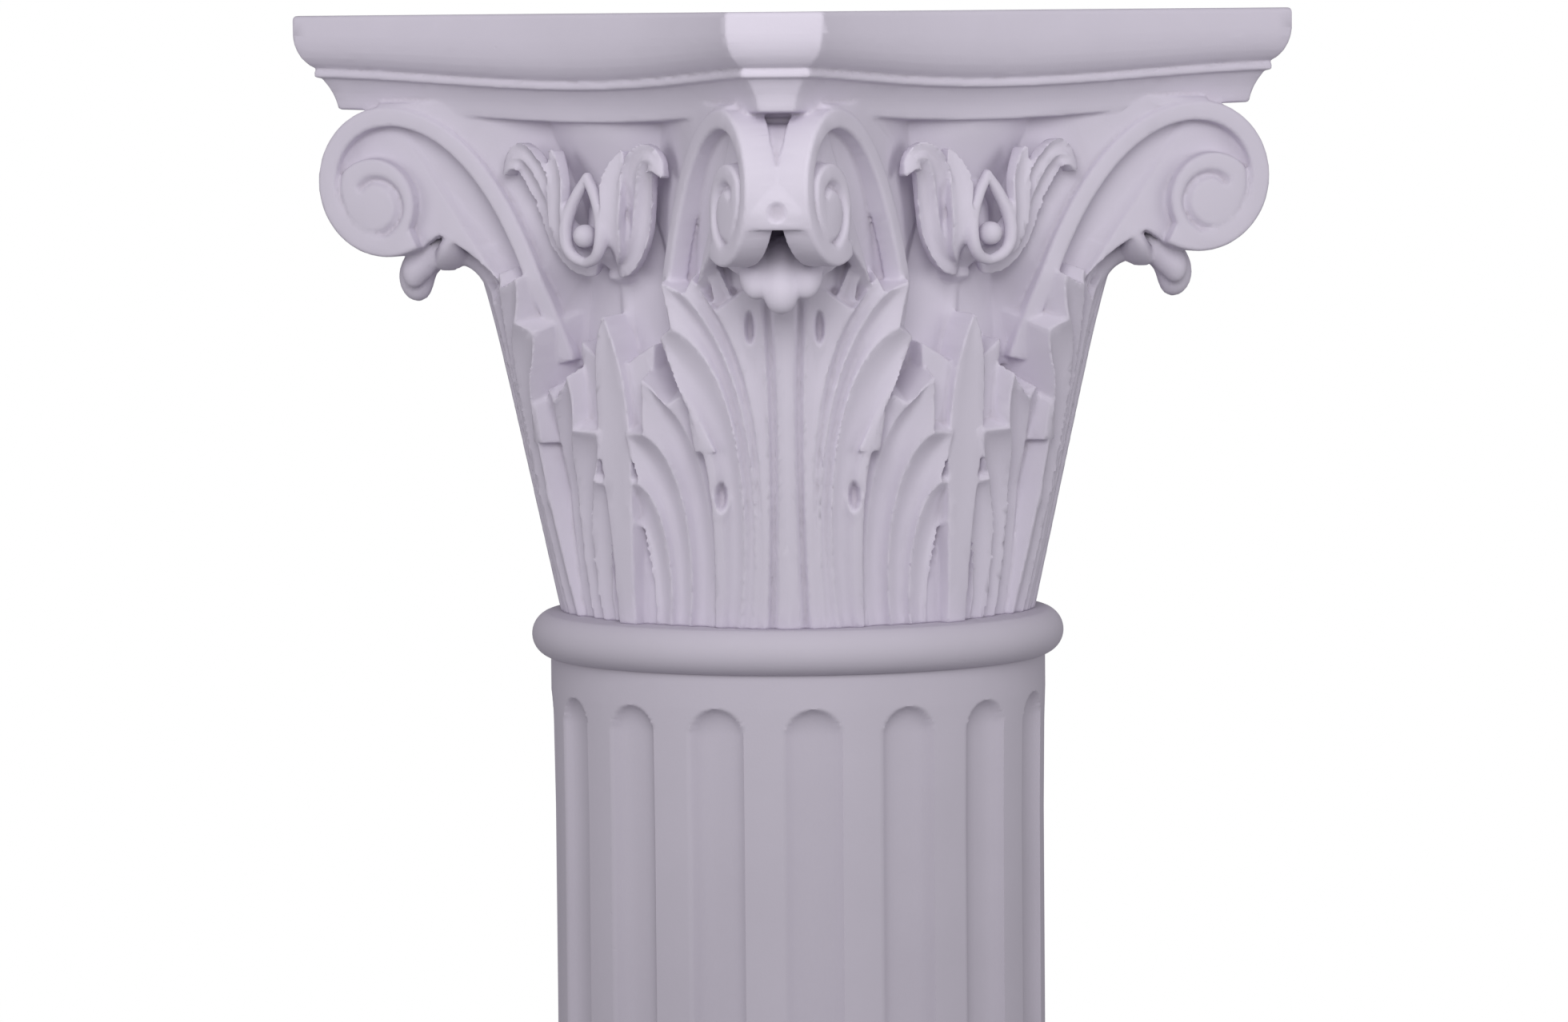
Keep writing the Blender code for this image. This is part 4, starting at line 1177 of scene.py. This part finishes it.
def closed_outward(made):
    """Fills the flat ends and turns every face outward."""
    shape = bmesh.new()
    shape.from_mesh(made.data)
    bmesh.ops.remove_doubles(shape, verts=shape.verts, dist=0.00001)
    bmesh.ops.holes_fill(shape, edges=[edge for edge in shape.edges if edge.is_boundary], sides=0)
    bmesh.ops.recalc_face_normals(shape, faces=shape.faces)
    shape.to_mesh(made.data)
    shape.free()


closed_outward(shaft)
hold_inside(shaft, *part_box("shaft"))
shaft.data.shade_smooth()
shaft.data.set_sharp_from_angle(angle=math.radians(48))
print("shaft", sum(len(p.vertices) - 2 for p in shaft.data.polygons), "triangles")

# %% [markdown]
# ## Base
# The photograph stops above the base, so this one is plain and in keeping: a square plinth, a big round, a
# hollow and a small round. A turned profile and a square block with eased edges are joined by a Boolean.

# %% Base
PLINTH_SIDE, PLINTH_HEIGHT, PLINTH_EDGE = 360 * MM, 56 * MM, 2.5 * MM
BIG_ROUND, BIG_HALF = 171 * MM, 17 * MM
SMALL_ROUND, SMALL_HALF = 148 * MM, 8 * MM
HOLLOW_TOP = 142 * MM

base_profile = []
for turn in np.linspace(-math.pi / 2, math.pi / 2, 25):
    height = PLINTH_HEIGHT + BIG_HALF + BIG_HALF * math.sin(turn)
    base_profile.append((BIG_ROUND - BIG_HALF * (1 - math.cos(turn)), height))
base_profile[0] = (base_profile[0][0], PLINTH_HEIGHT - 4 * MM)
hollow_low = PLINTH_HEIGHT + 2 * BIG_HALF + 4 * MM
hollow_high = BASE_HIGH.z - 2 * SMALL_HALF - 4 * MM
inner = BIG_ROUND - BIG_HALF
base_profile.append((inner, hollow_low - 0.6 * MM))
for share in np.linspace(0, 1, 12):
    dip = math.sin(share * math.pi / 2)
    radius = inner + (HOLLOW_TOP - 1 * MM - inner) * dip
    base_profile.append((radius, hollow_low + (hollow_high - hollow_low) * share**1.6))
base_profile.append((HOLLOW_TOP, hollow_high + 0.6 * MM))
base_profile.append((HOLLOW_TOP, hollow_high + 4 * MM))
for turn in np.linspace(-math.pi / 2, math.pi / 2, 17)[1:]:
    height = BASE_HIGH.z - SMALL_HALF + SMALL_HALF * math.sin(turn)
    base_profile.append((SMALL_ROUND - SMALL_HALF * (1 - math.cos(turn)), height))
base = mesh_of("base_casting", [tube(np.stack([ring_of(r, z, 200) for r, z in base_profile]))])
base_plaster = bpy.data.materials.new("base plaster")
base.data.materials.append(base_plaster)

plinth_shape = bmesh.new()
bmesh.ops.create_cube(plinth_shape, size=1.0)
bmesh.ops.scale(plinth_shape, vec=(PLINTH_SIDE, PLINTH_SIDE, PLINTH_HEIGHT), verts=plinth_shape.verts)
bmesh.ops.translate(plinth_shape, vec=(0, 0, PLINTH_HEIGHT / 2), verts=plinth_shape.verts)
bmesh.ops.bevel(
    plinth_shape,
    geom=list(plinth_shape.edges),
    offset=PLINTH_EDGE,
    segments=4,
    profile=0.5,
    affect="EDGES",
)
plinth_mesh = bpy.data.meshes.new("plinth")
plinth_shape.to_mesh(plinth_mesh)
plinth_shape.free()
plinth = placed("plinth", plinth_mesh)
union = base.modifiers.new("union", "BOOLEAN")
union.operation = "UNION"
union.solver = "EXACT"
union.object = plinth
plain_mesh(base)
bpy.data.objects.remove(plinth, do_unlink=True)
closed_outward(base)
hold_inside(base, BASE_LOW, BASE_HIGH)
base.data.shade_smooth()
base.data.set_sharp_from_angle(angle=math.radians(35))
print("base", sum(len(p.vertices) - 2 for p in base.data.polygons), "triangles")

# %% [markdown]
# ## Plaster
# Bare cast plaster is matt and nearly white, a little lavender in this light. What keeps it from looking like
# plastic is small: faint cloudy patches where it dried unevenly, a fine tooth and a few pin holes from air in
# the mix. The hollows are painted darker as well, which is painted shade. The clouds, the painted shade in the
# hollows, and the tooth with its holes are three shader groups, made once and used in every plaster with its
# own amounts.

# %% Shader groups
def shader_group(name, inputs, outputs):
    """An empty shader group with named inputs, each with a usual value, and named outputs."""
    group = bpy.data.node_groups.new(name, "ShaderNodeTree")
    for label, kind, value in inputs:
        made = group.interface.new_socket(label, in_out="INPUT", socket_type=kind)
        made.default_value = value
    for label, kind in outputs:
        group.interface.new_socket(label, in_out="OUTPUT", socket_type=kind)
    return group, group.nodes.new("NodeGroupInput"), group.nodes.new("NodeGroupOutput")


clouds, start, end = shader_group(
    "drying clouds",
    (
        ("Colour", "NodeSocketColor", (0.6, 0.6, 0.6, 1)),
        ("Patch size", "NodeSocketFloat", 0.08),
        ("Strength", "NodeSocketFloat", 0.05),
    ),
    (("Colour", "NodeSocketColor"),),
)
where = node(clouds, "ShaderNodeTexCoord")
scale = reckon(clouds, "DIVIDE", 1.0, start.outputs["Patch size"])
patches = node(
    clouds,
    "ShaderNodeTexNoise",
    {"Vector": where.outputs["Object"], "Scale": scale, "Detail": 5.0, "Roughness": 0.62},
)
darker = reckon(clouds, "SUBTRACT", 1.0, start.outputs["Strength"])
lighter = reckon(clouds, "ADD", 1.0, start.outputs["Strength"])
shade = node(
    clouds,
    "ShaderNodeMapRange",
    {"Value": patches.outputs["Fac"], "From Min": 0.3, "From Max": 0.7, "To Min": darker, "To Max": lighter},
)
toned = node(
    clouds,
    "ShaderNodeVectorMath",
    {0: start.outputs["Colour"], "Scale": shade.outputs["Result"]},
    operation="SCALE",
)
clouds.links.new(toned.outputs[0], end.inputs["Colour"])

# Painted shade: this group darkens the colour where the surface is hollow (low Pointiness), where shade falls
painted_shade, start, end = shader_group(
    "dust in hollows",
    (
        ("Colour", "NodeSocketColor", (0.6, 0.6, 0.6, 1)),
        ("Painted shade colour", "NodeSocketColor", (0.4, 0.38, 0.38, 1)),
        ("Amount", "NodeSocketFloat", 0.3),
    ),
    (("Colour", "NodeSocketColor"),),
)
form = node(painted_shade, "ShaderNodeNewGeometry")
hollow = node(
    painted_shade, "ShaderNodeMapRange", {"Value": form.outputs["Pointiness"], "From Min": 0.49, "From Max": 0.43}
)
painted_shade_share = reckon(painted_shade, "MULTIPLY", hollow.outputs["Result"], start.outputs["Amount"])
# Mixes the darker painted shade colour into the plaster's colour in the hollows
painted_shade_mix = node(painted_shade, "ShaderNodeMix", {"Factor": painted_shade_share}, data_type="RGBA")


def colour_sockets(sockets):
    """The colour sockets of a Mix node by name, because its number sockets have the same names."""
    return {socket.name: socket for socket in sockets if socket.type == "RGBA"}


painted_shade.links.new(start.outputs["Colour"], colour_sockets(painted_shade_mix.inputs)["A"])
painted_shade.links.new(start.outputs["Painted shade colour"], colour_sockets(painted_shade_mix.inputs)["B"])
painted_shade.links.new(colour_sockets(painted_shade_mix.outputs)["Result"], end.inputs["Colour"])

toothing, start, end = shader_group(
    "tooth and pin holes",
    (
        ("Grain size", "NodeSocketFloat", 0.0012),
        ("Grain", "NodeSocketFloat", 0.3),
        ("Hole spacing", "NodeSocketFloat", 0.03),
        ("Hole radius", "NodeSocketFloat", 0.03),
        ("Hole depth", "NodeSocketFloat", 1.0),
    ),
    (("Height", "NodeSocketFloat"),),
)
where = node(toothing, "ShaderNodeTexCoord")
fine = reckon(toothing, "DIVIDE", 1.0, start.outputs["Grain size"])
grain = node(
    toothing, "ShaderNodeTexNoise", {"Vector": where.outputs["Object"], "Scale": fine, "Detail": 3.0}
)
grained = reckon(toothing, "MULTIPLY", grain.outputs["Fac"], start.outputs["Grain"])
apart = reckon(toothing, "DIVIDE", 1.0, start.outputs["Hole spacing"])
cells = node(
    toothing, "ShaderNodeTexVoronoi", {"Vector": where.outputs["Object"], "Scale": apart, "Randomness": 1.0}
)
hole = node(
    toothing,
    "ShaderNodeMapRange",
    {
        "Value": cells.outputs["Distance"],
        "From Min": 0.0,
        "From Max": start.outputs["Hole radius"],
        "To Min": 1.0,
        "To Max": 0.0,
    },
)
depth = reckon(toothing, "MULTIPLY", hole.outputs["Result"], start.outputs["Hole depth"])
toothing.links.new(reckon(toothing, "SUBTRACT", grained, depth), end.inputs["Height"])
print("shader groups", clouds.name, painted_shade.name, toothing.name, sep=", ")


# %% Plaster materials
SHEEN, BUMP_STRENGTH, BUMP_HEIGHT = 0.35, 0.25, 0.0006
# How dark the painted shade in the hollows is, as shares of the plaster's colour
PAINTED_SHADE_SHARE = (0.62, 0.60, 0.58)


def finish_plaster(material, colour, patch, cloud, painted_shade_amount, hole_radius, roughness):
    """Builds one plaster from the three groups, with its own amounts."""
    material.use_nodes = True
    tree = material.node_tree
    shader = tree.nodes["Principled BSDF"]
    shader.inputs["Roughness"].default_value = roughness
    shader.inputs["Specular IOR Level"].default_value = SHEEN
    cloudy = node(tree, "ShaderNodeGroup", node_tree=clouds)
    cloudy.inputs["Colour"].default_value = (*colour, 1)
    cloudy.inputs["Patch size"].default_value = patch
    cloudy.inputs["Strength"].default_value = cloud
    # Painted shade in the hollows: the plaster's colour, darkened, laid in where the surface is hollow
    painted_shade_node = node(tree, "ShaderNodeGroup", node_tree=painted_shade)
    tree.links.new(cloudy.outputs["Colour"], painted_shade_node.inputs["Colour"])
    darkened = [part * share for part, share in zip(colour, PAINTED_SHADE_SHARE)]
    painted_shade_node.inputs["Painted shade colour"].default_value = (*darkened, 1)
    painted_shade_node.inputs["Amount"].default_value = painted_shade_amount
    toothed = node(tree, "ShaderNodeGroup", node_tree=toothing)
    toothed.inputs["Hole radius"].default_value = hole_radius
    bump = node(tree, "ShaderNodeBump", {"Strength": BUMP_STRENGTH, "Distance": BUMP_HEIGHT})
    tree.links.new(toothed.outputs["Height"], bump.inputs["Height"])
    tree.links.new(bump.outputs["Normal"], shader.inputs["Normal"])
    tree.links.new(painted_shade_node.outputs["Colour"], shader.inputs["Base Color"])


PLASTERS = (
    # piece, material, colour, patch size, clouds, painted shade in the hollows, hole radius and roughness
    (capital, plaster, (0.65, 0.605, 0.70), 0.09, 0.025, 0.45, 0.03, 0.82),
    # The shaft's colour is the capital's plaster painted darker, as painted shade
    (shaft, shaft_plaster, (0.56, 0.52, 0.60), 0.12, 0.03, 0.30, 0.035, 0.82),
    (base, base_plaster, (0.63, 0.59, 0.66), 0.10, 0.035, 0.30, 0.04, 0.86),
)
for made, material, *amounts in PLASTERS:
    finish_plaster(material, *amounts)
    made.data.materials.clear()
    made.data.materials.append(material)
    print(made.name, "is", material.name)

# %% [markdown]
# ## Bodies
# Each casting stands for one imported solid, which is hidden, and rides on the one body there is.

# %% Bodies
for made, solid, slot in (
    (capital, "capital", "capital_plaster"),
    (shaft, "shaft", "shaft_plaster"),
    (base, "base", "base_plaster"),
):
    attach(made, "root")
    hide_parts(solid)
